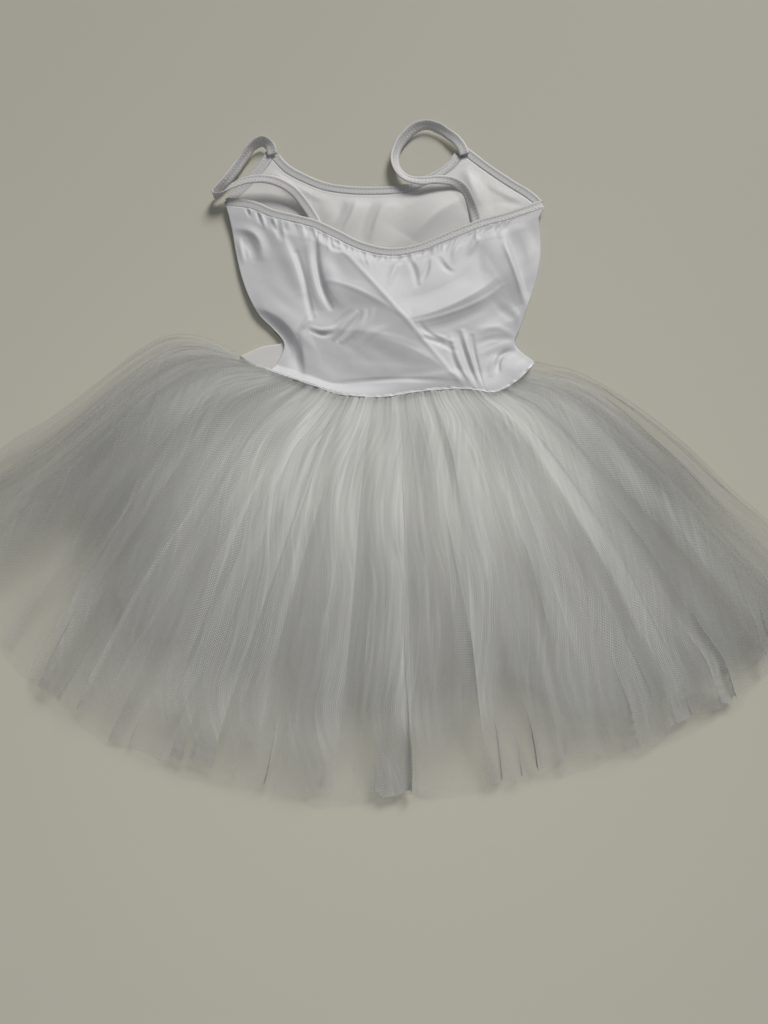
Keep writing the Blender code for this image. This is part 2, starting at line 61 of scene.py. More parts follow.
def makeStudio():
    # the camera, the pale floor, a soft key light from beyond the neck and a softer one overhead
    lens = bpy.data.cameras.new("camera")
    lens.lens = studio["lens"]
    lens.sensor_width = studio["sensor"]
    lens.sensor_fit = "AUTO"
    camera = placed("camera", lens)
    camera.location = (waistMiddle[0] + studio["cameraPlace"][0], waistMiddle[1] + studio["cameraPlace"][1],
                       studio["cameraHeight"])
    camera.rotation_euler = (math.radians(studio["cameraTilt"]), 0, 0)
    bpy.context.scene.camera = camera
    bpy.context.scene.view_settings.view_transform = "Standard"
    # many layers of net lie on each other, and light that has met several of them adds little
    paths = bpy.context.scene.cycles
    paths.transparent_max_bounces = studio["layersSeen"]
    paths.max_bounces = studio["bounces"]
    paths.diffuse_bounces = studio["diffuseBounces"]
    paths.transmission_bounces = studio["throughBounces"]
    paths.glossy_bounces = studio["glossyBounces"]
    half = studio["floorSize"] / 2
    mesh = bpy.data.meshes.new("floor")
    square = ((-half, -half), (half, -half), (half, half), (-half, half))
    mesh.from_pydata([(*corner, studio["floorHeight"]) for corner in square], [], [(0, 1, 2, 3)])
    floor = placed("floor", mesh)
    paint = bpy.data.materials.new("floorPaint")
    paint.use_nodes = True
    shader = paint.node_tree.nodes["Principled BSDF"]
    shader.inputs["Base Color"].default_value = (*studio["floorColour"], 1)
    shader.inputs["Roughness"].default_value = studio["floorRoughness"]
    mesh.materials.append(paint)
    key = bpy.data.lights.new("key", "SUN")
    key.energy = studio["keyStrength"]
    key.angle = math.radians(studio["keyAngle"])
    top = bpy.data.lights.new("top", "AREA")
    top.energy = studio["topPower"]
    top.size = studio["topSize"]
    for lamp, place in ((key, studio["keyPlace"]), (top, studio["topPlace"])):
        lamp.color = studio["lampColour"]
        light = placed(lamp.name, lamp)
        light.location = place
        if lamp is key:
            light.rotation_euler = (math.atan2(math.hypot(place[0], place[1]), place[2]), 0,
                                    math.atan2(place[1], place[0]) + math.pi / 2)
    world = bpy.data.worlds.new("sky")
    world.use_nodes = True
    sky = world.node_tree.nodes["Background"]
    sky.inputs["Color"].default_value = (*studio["skyColour"], 1)
    sky.inputs["Strength"].default_value = studio["skyStrength"]
    bpy.context.scene.world = world


class Wire:
    # a shader socket, so that expressions on it add their Math nodes
    def __init__(self, material, socket):
        self.material = material
        self.socket = socket

    def combine(self, operation, first, second=None):
        values = {0: first} if second is None else {0: first, 1: second}
        return self.material.add("ShaderNodeMath", {"operation": operation}, values, 0)

    def __add__(self, other):
        return self.combine("ADD", self, other)

    def __radd__(self, other):
        return self.combine("ADD", other, self)

    def __sub__(self, other):
        return self.combine("SUBTRACT", self, other)

    def __rsub__(self, other):
        return self.combine("SUBTRACT", other, self)

    def __mul__(self, other):
        return self.combine("MULTIPLY", self, other)

    def cosine(self):
        return self.combine("COSINE", self)

    def clamped(self, low, high):
        return self.combine("MINIMUM", self.combine("MAXIMUM", self, low), high)


class Finish:
    # a material: add() makes a node of a type with its settings and the values or links of its sockets
    def __init__(self, name, **constants):
        self.data = bpy.data.materials.new(name)
        self.data.use_nodes = True
        self.tree = self.data.node_tree
        self.shader = self.tree.nodes["Principled BSDF"]
        for socket, value in constants.items():
            self.shader.inputs[socket.replace("_", " ")].default_value = value

    def put(self, socket, value):
        if isinstance(value, Wire):
            self.tree.links.new(value.socket, socket)
        else:
            socket.default_value = value

    def add(self, kind, settings, values, output):
        node = self.tree.nodes.new(kind)
        for name, value in settings.items():
            setattr(node, name, value)
        for name, value in values.items():
            self.put(node.inputs[name], value)
        return Wire(self, node.outputs[output])

    def feed(self, socket, value):
        self.put(self.shader.inputs[socket], value)

    def place(self, mapName):
        # the piece's own flat cut, in metres, as two wires
        both = self.add("ShaderNodeUVMap", {"uv_map": mapName}, {}, "UV")
        across, along = [self.add("ShaderNodeSeparateXYZ", {}, {"Vector": both}, axis) for axis in "XY"]
        return across, along, both

    def noise(self, vector, scale, detail):
        return self.add("ShaderNodeTexNoise", {}, {"Vector": vector, "Scale": scale, "Detail": detail}, 0)

    def bump(self, height, distance, strength):
        values = {"Height": height, "Distance": distance, "Strength": strength}
        return self.add("ShaderNodeBump", {}, values, 0)

    def colour(self, red, green, blue):
        return self.add("ShaderNodeCombineColor", {}, {0: red, 1: green, 2: blue}, 0)


# the edges of the pieces, in millimetres from the middle of the back waist seam
bodice = {
    "waist": [(-99, 31), (-94, 26.5), (-86, 22.5), (-67, 15), (-50, 9), (-29, 2), (-4, 0), (23, 4), (53, 6),
              (72, 3.5), (85, 11), (94, 19), (99, 25)],
    "backLeft": [(0.00, -77, 19), (0.09, -71.5, 29), (0.18, -69, 40), (0.27, -77, 51), (0.36, -86, 60),
                 (0.46, -93, 72), (0.60, -100, 90), (0.74, -105, 110), (0.88, -109, 131), (1.00, -113, 149)],
    "backRight": [(0.00, 99, 25), (0.09, 91, 33), (0.18, 87, 41), (0.27, 91, 51), (0.38, 96, 65),
                  (0.52, 103, 85), (0.68, 108, 108), (0.84, 108, 126), (0.93, 107.5, 138), (1.00, 111, 147)],
    "frontLeft": [(0.00, -99, 31), (0.07, -85, 38), (0.14, -70, 42), (0.20, -78, 52), (0.27, -88, 63),
                  (0.38, -97, 82), (0.50, -104, 105), (0.60, -108, 127), (0.68, -111, 144)],
    "frontRight": [(0.00, 99, 25), (0.07, 91, 33), (0.14, 87, 41), (0.20, 91, 51), (0.28, 96, 65),
                   (0.38, 103, 85), (0.50, 107.5, 108), (0.60, 107.5, 127), (0.68, 108.5, 141)],
    "cornerLeft": (-82.6, 186.0), "cornerRight": (56.4, 189.4), "underarmShare": 0.72,
    "wall": 0.0009, "packed": 1.7, "loft": 1.6, "waistSlope": 0.16, "neckSlope": (0.80, 0.97),
    "foldEnd": (0.90, 0.98), "sideCalm": 0.05, "waistHeight": 6.2,
    "backGrid": (230, 150), "frontGrid": (170, 120),
}

edging = {
    "backNeck": [(-113, 149, 2.6), (-95, 146, 3.4), (-79, 138.5, 3.9), (-64, 134.5, 4.0), (-52, 131, 4.0),
                 (-36, 123, 3.9), (-18, 113.5, 3.6), (3, 108.5, 3.5), (24, 112, 3.6), (39, 118.5, 3.8),
                 (57, 126.5, 4.0), (69, 131.5, 4.0), (84, 136, 3.8), (103, 143.5, 3.2), (111, 147, 2.6)],
    "frontNeck": [(-83, 192, 0), (-71, 178, 0), (-58, 170, 0), (-45, 164, 0), (-30, 161, 0), (-8, 160, 0),
                  (13, 162, 0), (33, 171, 0), (47, 182, 0), (55, 194, 0)],
    "armLeft": [(-112, 151, 0), (-101, 165, 0), (-90, 180, 0), (-83, 193, 0)],
    "armRight": [(110, 149, 0), (102, 157, 0), (89, 166.5, 0), (77, 176, 0), (66, 185.5, 0), (56, 195, 0)],
    "width": 7.0, "thickness": 1.35, "seamGap": 0.05, "neckTrim": 5.0,
    "strapWidth": 7.2, "strapThickness": 1.45,
    "seamStart": -87, "seamHeight": 7.1, "seamWidth": 1.8, "seamThickness": 1.2,
}

# the stitches: thread radius, length and pitch in millimetres, how far their rows lie from the band's middle
stitch = {"thread": 0.24, "length": 1.9, "pitch": 2.6, "rings": 5, "sides": 6, "rowOffset": 1.36,
          "rowHeight": 0.36}

# each strap's middle line: x, y, height, and how far it is rolled about that line, in degrees
straps = {
    "left": [(-82, 189, 2.3, 0), (-84, 195.5, 3.5, 15), (-89, 198.5, 4.6, 50), (-95, 195.5, 4.7, 60),
             (-101, 187, 4.4, 50), (-108, 175, 4.3, 45), (-115, 164, 4.7, 60), (-120, 158, 5.0, 80),
             (-122.4, 155, 5.2, 90), (-121.2, 152.4, 5.6, 90), (-117, 153.2, 6.3, 75),
             (-110, 157.6, 8.4, 35), (-97, 162.5, 9.6, 10), (-80, 162.5, 9.2, 0), (-66, 156, 6.8, 0),
             (-57, 146, 3.9, 0), (-51, 136.5, 2.5, 0), (-48.5, 130.5, 2.5, 0)],
    "right": [(57, 189, 2.3, 0), (55, 195, 3.1, 0), (51, 200.5, 3.6, 10), (45, 206, 3.4, 20),
              (38, 211, 3.4, 30), (30, 213.5, 3.6, 35), (22, 211, 3.8, 35), (14, 203.5, 3.8, 35),
              (8.5, 194, 3.8, 35), (6.5, 184, 4.0, 30), (8.5, 175, 4.7, 25), (15, 167.5, 5.2, 15),
              (25, 165, 5.4, 5), (37, 166, 5.2, 0), (48, 164.5, 4.8, -10), (55.5, 158, 4.6, -30),
              (59.5, 149, 4.4, -35), (62.5, 140, 3.4, -15), (64.5, 133, 2.5, 0), (66, 128.5, 2.5, 0)],
}

# a plane falls away on both hands of a crisp crest; a row has three points of the crest, its reach to the
# left and to the right hand, and its height, all in millimetres
backPlanes = [
    (-38, 118, 12, 55, 56, 1, 55, 72, 6.2),
    (-42, 84, -20, 76, 9, 57, 26, 34, 2.4),
    (-50, 44, -20, 46, 24, 34, 20, 30, 2.3),
    (-93, 67, -65, 50, -53, 16, 34, 10, 2.9),
    (18, 54, 47, 65, 74, 85, 16, 20, 4.8),
    (82, 118, 88, 92, 95, 68, 5, 22, 4.7),
    (-104, 127, -91, 121, -86, 106, 6, 4, 1.6),
    (58, 50, 80, 53, 100, 70, 12, 16, 1.0),
    (44, 42, 49, 24, 58, 3, 3, 8, 1.3),
    (52, 46, 57, 26, 65, 2, 3, 3, 1.5),
    (-2, 39, 26, 27, 53, 6, 6, 16, 0.9),
]
# a fold is a broad soft ridge along a bent line, and a crease a narrow one or, below nought, a groove; a row
# has three points, the half width on each hand, and the height
backFolds = [
    (8, 88, 38, 88, 72, 100, 24, 24, 3.8),
    (-74, 121, -64, 98, -57, 78, 2.6, 6, 1.7),
    (-54, 112, -50, 86, -44, 66, 2.2, 2.2, 1.1),
    (-44, 119, -41, 90, -31, 68, 6, 2.6, 1.4),
    (66, 122, 71, 106, 70, 90, 7, 5, 0.8),
    (96, 124, 102, 104, 101, 84, 5, 5, 1.4),
    (78, 24, 88, 22, 94, 26, 6, 8, 1.8),
    (-70, 26, -66, 18, -62, 12, 6, 5, 1.2),
]
backCreases = [
    (-38, 118, 12, 55, 56, 1, 0.9, 1.3, 0.40),
    (-62, 107, -56, 84, -50, 57, 1.2, 1.5, -1.3),
    (-49, 119, -46, 88, -37, 64, 1.2, 1.5, -1.5),
    (-42, 84, -20, 76, 9, 57, 0.9, 1.3, 0.25),
    (20, 51, 52, 62, 80, 81, 0.8, 0.8, 0.55),
    (22, 46, 50, 55, 78, 73, 1.6, 2.6, -0.5),
    (-40, 116, -34, 109, -27, 110, 1.3, 1.6, -1.3),
    (-57, 49, -54, 53, -50, 60, 1.2, 1.4, 0.8),
    (-50, 47, -41, 44, -34, 47, 0.9, 1.3, -0.8),
    (-50, 49, -42, 47, -35, 49, 1.1, 1.2, 0.6),
    (-20, 59, -28, 50, -34, 41, 1.0, 1.2, 0.9),
    (-14, 59, -18, 49, -29, 39, 1.0, 1.4, 0.9),
    (-24, 60, -31, 54, -38, 46, 1.0, 1.2, -0.7),
    (-17, 59, -23, 50, -32, 40, 0.9, 1.1, -0.8),
    (-9, 60, -12, 52, -20, 42, 1.2, 1.4, 0.6),
    (-14, 38, -8, 44, 0, 48, 1.5, 1.8, 0.4),
    (23, 50, 30, 43, 44, 36, 0.8, 1.2, -0.7),
    (26, 40, 36, 37, 46, 32, 0.9, 1.2, -0.8),
    (27, 43, 36, 41, 44, 39, 1.2, 1.2, 0.5),
    (42, 40, 46, 23, 54, 8, 1.0, 1.4, -0.9),
    (49, 45, 54, 26, 62, 3, 1.0, 1.3, -1.1),
    (58, 43, 60, 25, 65, 2, 0.8, 1.5, -1.4),
    (85, 34, 77, 29, 75, 19, 0.8, 1.6, -1.9),
    (84, 30, 73, 26, 70, 16, 1.6, 1.6, 0.7),
    (65, 47, 75, 50, 86, 45, 1.5, 1.5, 0.4),
    (65, 31, 75, 36, 87, 41, 1.4, 1.6, 0.4),
    (62, 38, 72, 42, 84, 43, 1.6, 1.6, -0.5),
    (83, 68, 89, 60, 91, 50, 1.6, 1.8, 0.5),
    (74, 70, 80, 62, 86, 58, 2.0, 1.8, -0.4),
    (82, 112, 88, 92, 95, 69, 0.8, 1.0, 0.7),
    (-88, 62, -68, 44, -61, 22, 3.0, 2.4, -1.0),
    (-60, 42, -58, 26, -57, 13, 1.8, 2.8, -1.3),
    (-103, 119, -101, 110, -99, 102, 1.0, 1.4, 1.1),
    (-99, 118, -94, 112, -92, 104, 2.4, 2.2, -1.0),
    (-40, 9, 6, 12, 52, 8, 0.9, 1.3, -0.5),
    (-30, 23, 4, 19, 34, 17, 3.0, 4.0, 0.3),
    (9, 100, 6, 91, 3, 82, 1.6, 2.2, 0.8),
    (17, 100, 20, 89, 21, 80, 1.3, 1.5, -0.9),
    (29, 100, 28, 92, 25, 84, 1.1, 1.4, -0.9),
    (37, 101, 41, 94, 45, 91, 1.1, 1.4, -0.9),
    (64, 120, 61, 113, 58, 107, 1.6, 2.0, 0.9),
    (50, 112, 48, 106, 47, 99, 1.4, 1.6, 0.6),
    (-78, 132, -75, 124, -72, 118, 1.6, 1.8, -0.9),
]
# the front panel's own planes, folds and creases, which show through the neck
frontPlanes = [
    (-22, 156, -25, 140, -33, 120, 18, 8, 2.5),
    (4, 156, -5, 141, -10, 118, 18, 8, 2.4),
    (18, 120, 34, 138, 52, 151, 34, 20, 4.2),
    (56, 186, 61, 166, 66, 146, 14, 22, 2.2),
    (72, 174, 88, 161, 103, 153, 8, 8, 2.0),
]
frontFolds = [
    (-74, 176, -64, 164, -52, 158, 6, 7, 1.2),
    (-44, 150, -40, 140, -38, 130, 7, 6, 0.9),
]
frontCreases = [
    (-23, 153, -26, 140, -33, 126, 1.0, 1.3, -0.6),
    (3, 153, -6, 141, -11, 126, 1.0, 1.3, -0.5),
    (-75, 172, -66, 158, -58, 146, 2.0, 3.0, 0.7),
    (-66, 170, -62, 160, -50, 150, 2.0, 2.6, -0.5),
    (58, 182, 60, 168, 66, 150, 1.6, 3.0, 0.9),
    (66, 176, 72, 160, 74, 144, 3.0, 4.0, -0.5),
    (76, 164, 90, 156, 102, 152, 2.0, 2.4, 0.8),
    (80, 150, 92, 150, 104, 148, 2.0, 2.0, -0.4),
]


def ease(low, high, value):
    # 0 below low, 1 above high, and 3t2 - 2t3 between them
    share = np.clip((value - low) / (high - low), 0.0, 1.0)
    return share * share * (3.0 - 2.0 * share)


def runningLength(points):
    # the length of the line through the points, up to each of them
    return np.concatenate(([0.0], np.cumsum(np.linalg.norm(np.diff(points, axis=0), axis=1))))


def chordShares(points):
    # each point's share of the length of the line through all of them, in the plan
    lengths = runningLength(points[:, :2])
    return lengths / lengths[-1]


def smoothLine(points, shares, stations=None):
    # a cubic through the points: each span starts and ends with the slopes of its neighbours
    points = np.asarray(points, dtype=float)
    stations = chordShares(points) if stations is None else np.asarray(stations, dtype=float)
    slopes = np.gradient(points, stations, axis=0)
    shares = np.clip(np.asarray(shares, dtype=float), 0.0, 1.0)
    index = np.clip(np.searchsorted(stations, shares, side="right") - 1, 0, len(stations) - 2)
    span = (stations[index + 1] - stations[index])[..., None]
    t = (shares - stations[index])[..., None] / span
    return ((2 * t**3 - 3 * t**2 + 1) * points[index] + (t**3 - 2 * t**2 + t) * span * slopes[index]
            + (3 * t**2 - 2 * t**3) * points[index + 1] + (t**3 - t**2) * span * slopes[index + 1])


def sideLine(rows, shares):
    # a smooth line whose rows start with their own share
    rows = np.asarray(rows, dtype=float)
    return smoothLine(rows[:, 1:], shares, rows[:, 0])


def beside(points, distance):
    # the line at a distance to the right hand of a line
    points = np.asarray(points, dtype=float)[:, :2]
    along = np.gradient(points, chordShares(points), axis=0)
    along /= np.linalg.norm(along, axis=1, keepdims=True)
    return np.column_stack((points[:, 0] + distance * along[:, 1], points[:, 1] - distance * along[:, 0]))


def patch(bottom, top, left, right, u, v, sidePower=1.0, cornerPower=10):
    # bottom and top are joined by straight lines, and the bulge of each side is added, fading inwards
    low, high = bottom(u), top(u)
    flat = low + v[..., None] * (high - low)
    for side, corner, weight in ((left, 0.0, (1 - u) ** sidePower), (right, 1.0, u**sidePower)):
        start, end = bottom(np.array([corner]))[0], top(np.array([corner]))[0]
        line = side(v)
        line = line + v[..., None] ** cornerPower * (end - side(np.array([1.0]))[0])
        line = line + (1 - v[..., None]) ** cornerPower * (start - side(np.array([0.0]))[0])
        flat = flat + weight[..., None] * (line - start - v[..., None] * (end - start))
    return flat


def foldShapes(plan, folds, flat=False, samples=25):
    # for each fold, its height times a half sine along it, times a bell across it, or with flat the power
    # 1.5 of a straight fall to the fold's reach, whose crest is rounded over a millimetre; the reach turns
    # from one hand's to the other's around the ends
    share = np.linspace(0.0, 1.0, samples)[:, None]
    for x1, y1, x2, y2, x3, y3, left, right, height in folds:
        first, middle, last = np.array((x1, y1)), np.array((x2, y2)), np.array((x3, y3))
        line = (1 - share) ** 2 * first + 2 * share * (1 - share) * (2 * middle - (first + last) / 2)
        line = line + share**2 * last
        best = np.full(plan.shape[:-1], 1e9)
        signed = np.zeros(plan.shape[:-1])
        where = np.zeros(plan.shape[:-1])
        for number in range(samples - 1):
            step = line[number + 1] - line[number]
            away = plan - line[number]
            t = np.clip((away @ step) / (step @ step), 0, 1)
            offset = away - t[..., None] * step
            distance = np.linalg.norm(offset, axis=-1)
            nearer = distance < best
            best = np.where(nearer, distance, best)
            turn = (step[0] * offset[..., 1] - step[1] * offset[..., 0]) / np.linalg.norm(step)
            signed = np.where(nearer, turn / np.maximum(distance, 1e-6), signed)
            where = np.where(nearer, (number + t) / (samples - 1), where)
        away = (np.sqrt(best**2 + 0.5) - 0.7) / (right + (left - right) * (0.5 + 0.5 * signed))
        taper = np.sin(np.pi * np.clip(0.12 + 0.76 * where, 0, 1))
        yield height * taper * (np.clip(1 - away, 0, 1) ** 1.5 if flat else np.exp(-away * away))


def smoothNoise(rng, u, v, across, along):
    # random values on a small grid, blended by a cubic step, between -1 and 1
    grid = rng.uniform(-1, 1, (along + 2, across + 2))
    x, y = np.clip(u, 0, 1) * across, np.clip(v, 0, 1) * along
    column, row = np.floor(x).astype(int), np.floor(y).astype(int)
    s, t = ease(0, 1, x - column), ease(0, 1, y - row)
    low = grid[row, column] * (1 - s) + grid[row, column + 1] * s
    high = grid[row + 1, column] * (1 - s) + grid[row + 1, column + 1] * s
    return low * (1 - t) + high * t


def gridFaces(rows, columns, around=False):
    # the quads of a grid stored row by row, facing up where its rows run down the plan and its columns to
    # the right, and outwards on a band; around closes each row on itself
    number = np.arange(rows * columns).reshape(rows, columns)
    if around:
        number = np.column_stack((number, number[:, 0]))
    corners = (number[1:, :-1], number[1:, 1:], number[:-1, 1:], number[:-1, :-1])
    return np.stack(corners, axis=-1).reshape(-1, 4)


def meshPiece(name, points, faces, finish, cut=None, extras=None):
    # points in millimetres from the waist go into a mesh in the frame, with the flat cut as its UV map
    points = points.reshape(-1, 3) * mm + waistMiddle
    mesh = bpy.data.meshes.new(name)
    mesh.from_pydata(points, [], faces if isinstance(faces, list) else faces.tolist())
    if cut is not None:
        corners = np.empty(len(mesh.loops), dtype=np.int32)
        mesh.loops.foreach_get("vertex_index", corners)
        layer = mesh.uv_layers.new(name="cut")
        layer.data.foreach_set("uv", cut.reshape(-1, 2)[corners].astype(np.float32).ravel())
    for label, values in (extras or {}).items():
        layer = mesh.attributes.new(label, "FLOAT", "POINT")
        layer.data.foreach_set("value", values.astype(np.float32).ravel())
    mesh.materials.append(finish.data)
    mesh.shade_smooth()
    piece = placed(name, mesh)
    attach(piece, "root")
    return piece


def rowLengths(points):
    # the running length of each row of points, in metres
    steps = np.linalg.norm(np.diff(points, axis=1), axis=-1)
    return np.concatenate((np.zeros((len(points), 1)), np.cumsum(steps, axis=1)), axis=1) * mm


def jerseyPanel(name, plan, height, finish, node):
    # an upper grid at the height plus the wall, an under grid at the height, and a rim that joins them
    under = np.concatenate((plan, height[..., None]), axis=-1)
    upper = under + np.array((0, 0, bodice["wall"] / mm))
    rows, columns = height.shape
    number = np.arange(rows * columns).reshape(rows, columns)
    around = np.concatenate((number[0], number[1:, -1], number[-1, -2::-1], number[-2:0:-1, 0]))
    ahead = np.roll(around, -1)
    rim = np.stack((around, ahead, ahead + number.size, around + number.size), axis=-1)
    faces = np.concatenate((gridFaces(rows, columns), gridFaces(rows, columns)[:, ::-1] + number.size, rim))
    lengths = rowLengths(under)
    along = rowLengths(under.transpose(1, 0, 2)).T
    cut = np.stack((lengths - lengths[:, -1:] / 2, along), axis=-1).reshape(-1, 2)
    piece = meshPiece(name, np.stack((under, upper)), faces, finish, np.concatenate((cut, cut)))
    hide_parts(node)
    return piece


# the binding's and the strap's colours are painted shade and painted light: one jersey, coloured darker on
# the bindings than on the straps
jerseyLook = {
    "colour": (0.668, 0.668, 0.682), "inside": (0.70, 0.685, 0.665), "binding": (0.58, 0.575, 0.57),
    "strap": (0.64, 0.63, 0.615), "roughness": 0.42, "wale": 0.00045, "courses": 0.0006,
    "sheen": 0.25, "insideSheen": 0.1, "sheenRoughness": 0.4, "gloss": 0.42,
    "ribs": 0.5, "loops": 0.3, "clouds": 0.8, "cloudScale": 22.0, "relief": 0.00006, "cloudTone": 0.10,
}


def jerseyFinish(name, colour, sheen):
    # fine ribs of stretch jersey across and along the cut, a soft satin gloss and faint cloudy tone
    finish = Finish(name, Roughness=jerseyLook["roughness"], Sheen_Weight=sheen,
                    Sheen_Roughness=jerseyLook["sheenRoughness"], Specular_IOR_Level=jerseyLook["gloss"],
                    Subsurface_Weight=0.0)
    x, y, both = finish.place("cut")
    ribs = (x * (2 * math.pi / jerseyLook["wale"])).cosine()
    loops = (y * (2 * math.pi / jerseyLook["courses"])).cosine()
    cloud = finish.noise(both, jerseyLook["cloudScale"], 3.0)
    knit = ribs * jerseyLook["ribs"] + loops * jerseyLook["loops"] + cloud * jerseyLook["clouds"]
    finish.feed("Normal", finish.bump(knit, jerseyLook["relief"], 0.6))
    tone = cloud * jerseyLook["cloudTone"] + (1 - jerseyLook["cloudTone"] / 2)
    mix = {0: 1.0, 6: (*colour, 1), 7: finish.colour(tone, tone, tone)}
    shade = finish.add("ShaderNodeMix", {"data_type": "RGBA", "blend_type": "MULTIPLY"}, mix, 2)
    finish.feed("Base Color", shade)
    return finish


# the net's tone in the middle, along the sides and in the sheer margin, the lighter middle and darker sides
# being painted light and shade of the heaped pile; its mesh in metres; the cover of one plain layer; how far
# its normals lean with the sheet; streaks and lines: how many a metre across and along; fall, hemShade and
# turnShade are painted shade
tulleLook = {
    "middle": 0.865, "side": 0.585, "margin": 0.55, "mesh": 0.0013, "threads": 0.13, "cover": 0.15,
    "lean": 0.10, "roughness": 0.6, "gloss": 0.25, "green": 1.004, "blue": 0.968,
    "streaks": (300.0, 17.0), "streakTone": 0.24, "streakCover": 0.8,
    "lines": (64.0, 4.0), "lineTone": 0.07, "lineCover": 0.10, "lineThinness": 2200,
    "shadeCover": 2.5, "edgeCover": 0.52, "marginCalm": 0.66,
    "fall": 0.25, "hemShade": 0.12, "turnShade": 0.35,
}


def tulleFinish():
    # a fine net in the mesh's own cover and tone, the tone partly painted light and shade: three sets of
    # threads at
    # 60 degrees and long narrow streaks vary the alpha, and the streaks vary the tone as well
    finish = Finish("tulleNet", Roughness=tulleLook["roughness"], Specular_IOR_Level=tulleLook["gloss"])
    x, y, both = finish.place("cut")
    turn = 2 * math.pi / tulleLook["mesh"]
    halfTurn, slantTurn = turn * 0.5, turn * 0.866  # the cosine and sine of 60 degrees
    threads = ((x * turn).cosine() + (x * halfTurn + y * slantTurn).cosine()
               + (x * halfTurn - y * slantTurn).cosine())
    # the tone attribute carries painted light and shade of the heap as well as the net's own tone
    cover, tone = [finish.add("ShaderNodeAttribute", {"attribute_name": label}, {}, "Fac")
                   for label in ("cover", "tone")]
    across, along = tulleLook["streaks"]
    place = finish.add("ShaderNodeCombineXYZ", {}, {0: x * across, 1: y * along}, 0)
    streaks = finish.noise(place, 1.0, 3.0) - 0.5
    alpha = cover * (1 + threads * tulleLook["threads"]) * (1 + streaks * tulleLook["streakCover"])
    # thin bright lines, where the edges of small pleats run, are where a broad noise crosses its middle
    across, along = tulleLook["lines"]
    place = finish.add("ShaderNodeCombineXYZ", {}, {0: x * across, 1: y * along}, 0)
    middle = finish.noise(place, 1.0, 1.0) - 0.5
    lines = (1 - middle * middle * tulleLook["lineThinness"]).clamped(0, 1)
    alpha = alpha + cover * lines * tulleLook["lineCover"]
    tone = tone * (1 + streaks * tulleLook["streakTone"]) * (1 + lines * tulleLook["lineTone"])
    finish.feed("Alpha", alpha.clamped(0.0, 1.0))
    finish.feed("Base Color", finish.colour(tone, tone * tulleLook["green"], tone * tulleLook["blue"]))
    return finish


skirt = {
    "left": [(0.00, -99, 31), (0.07, -112, 40), (0.15, -127, 46.5), (0.27, -150, 47), (0.37, -168, 36),
             (0.52, -192, 14), (0.70, -223, -13), (0.86, -252, -33), (1.00, -276, -61)],
    "right": [(0.00, 99, 25), (0.12, 124, 22), (0.30, 156, 4), (0.55, 194, -28), (0.78, 226, -64),
              (0.90, 245, -83), (1.00, 262, -106)],
    "hem": [(0.00, -276, -61), (0.06, -271, -106), (0.13, -239, -159), (0.20, -201, -195),
            (0.29, -150, -224), (0.37, -100, -241), (0.45, -45, -251), (0.53, 8, -250),
            (0.62, 67, -243), (0.71, 123, -231), (0.79, 176, -215), (0.87, 222, -189),
            (0.94, 252, -148), (1.00, 262, -106)],
    "bulgePower": 4.0, "pitch": 1.6, "pitchAtWaist": 0.7, "pitchAtHem": 0.95, "hemRest": 3.2,
    "loftFull": 0.24, "loftFall": 0.62, "loftAtHem": 0.55,
    "sideTaper": 0.10, "sideLoft": 0.25, "swing": 0.010, "swings": 9, "waistCut": 0.62,
    "rows": 58, "hemLength": 700.0, "drop": 250.0, "gathers": 84,
    "innerHem": [(-290, -66), (-249, -67), (-204, -74), (-186, -92), (-173, -110), (-161, -142), (-157, -157),
                 (-129, -162), (-94, -168), (-57, -172), (-50, -192), (-22, -197), (6, -199), (19, -190),
                 (45, -184), (63, -184), (87, -190), (106, -203), (122, -207), (140, -206), (161, -200),
                 (186, -190), (208, -174), (221, -163), (235, -163), (290, -140)],
    "middleHem": [(-290, -93), (-246, -93), (-196, -92), (-191, -134), (-188, -183), (-162, -190),
                  (-120, -202), (-92, -214), (-56, -223), (-40, -221), (-18, -212), (10, -204), (23, -215),
                  (34, -219), (51, -204), (62, -194), (81, -189), (96, -204), (116, -211), (140, -211),
                  (165, -204), (190, -196), (207, -183), (220, -171), (235, -168), (290, -145)],
}

# from the ground up: the hem that the breadth ends on, how far short of it and how gradually; its cut width
# and length in metres; inset, loft, big folds (count, depth, seed), pleats, their height, columns of the grid
breadthColumns = ("name", "node", "hem", "fade", "short", "width", "cut", "inset", "loft", "folds", "depth",
                  "seed", "pleats", "pleatHeight", "columns")
breadthRows = [
    ("tulleOuterFront", "skirt_outer_front", None, None, 0.0, 0.76, 0.262,
     0.0, 0.0, 12, 2.2, 11, 26, 0.3, 560),
    ("tulleMiddleFront", "skirt_middle_front", "middleHem", 16, 4.0, 0.65, 0.235,
     0.03, 0.4, 10, 1.0, 12, 22, 0.3, 520),
    ("tulleInnerFront", "skirt_inner_front", "innerHem", 6, 5.0, 0.55, 0.2,
     0.055, 2.0, 8, 1.0, 13, 20, 0.4, 520),
    ("tulleInnerBack", "skirt_inner_back", "innerHem", 4, 0.0, 0.55, 0.2,
     0.06, 5.4, 16, 2.8, 14, 26, 0.6, 560),
    ("tulleMiddleBack", "skirt_middle_back", "middleHem", 16, 0.0, 0.65, 0.23,
     0.035, 10.0, 22, 3.4, 15, 34, 0.8, 640),
    ("tulleOuterBack", "skirt_outer_back", None, None, 3.5, 0.84, 0.26,
     0.004, 15.2, 32, 4.8, 16, 46, 0.8, 1100),
]
breadths = [dict(zip(breadthColumns, row)) for row in breadthRows]
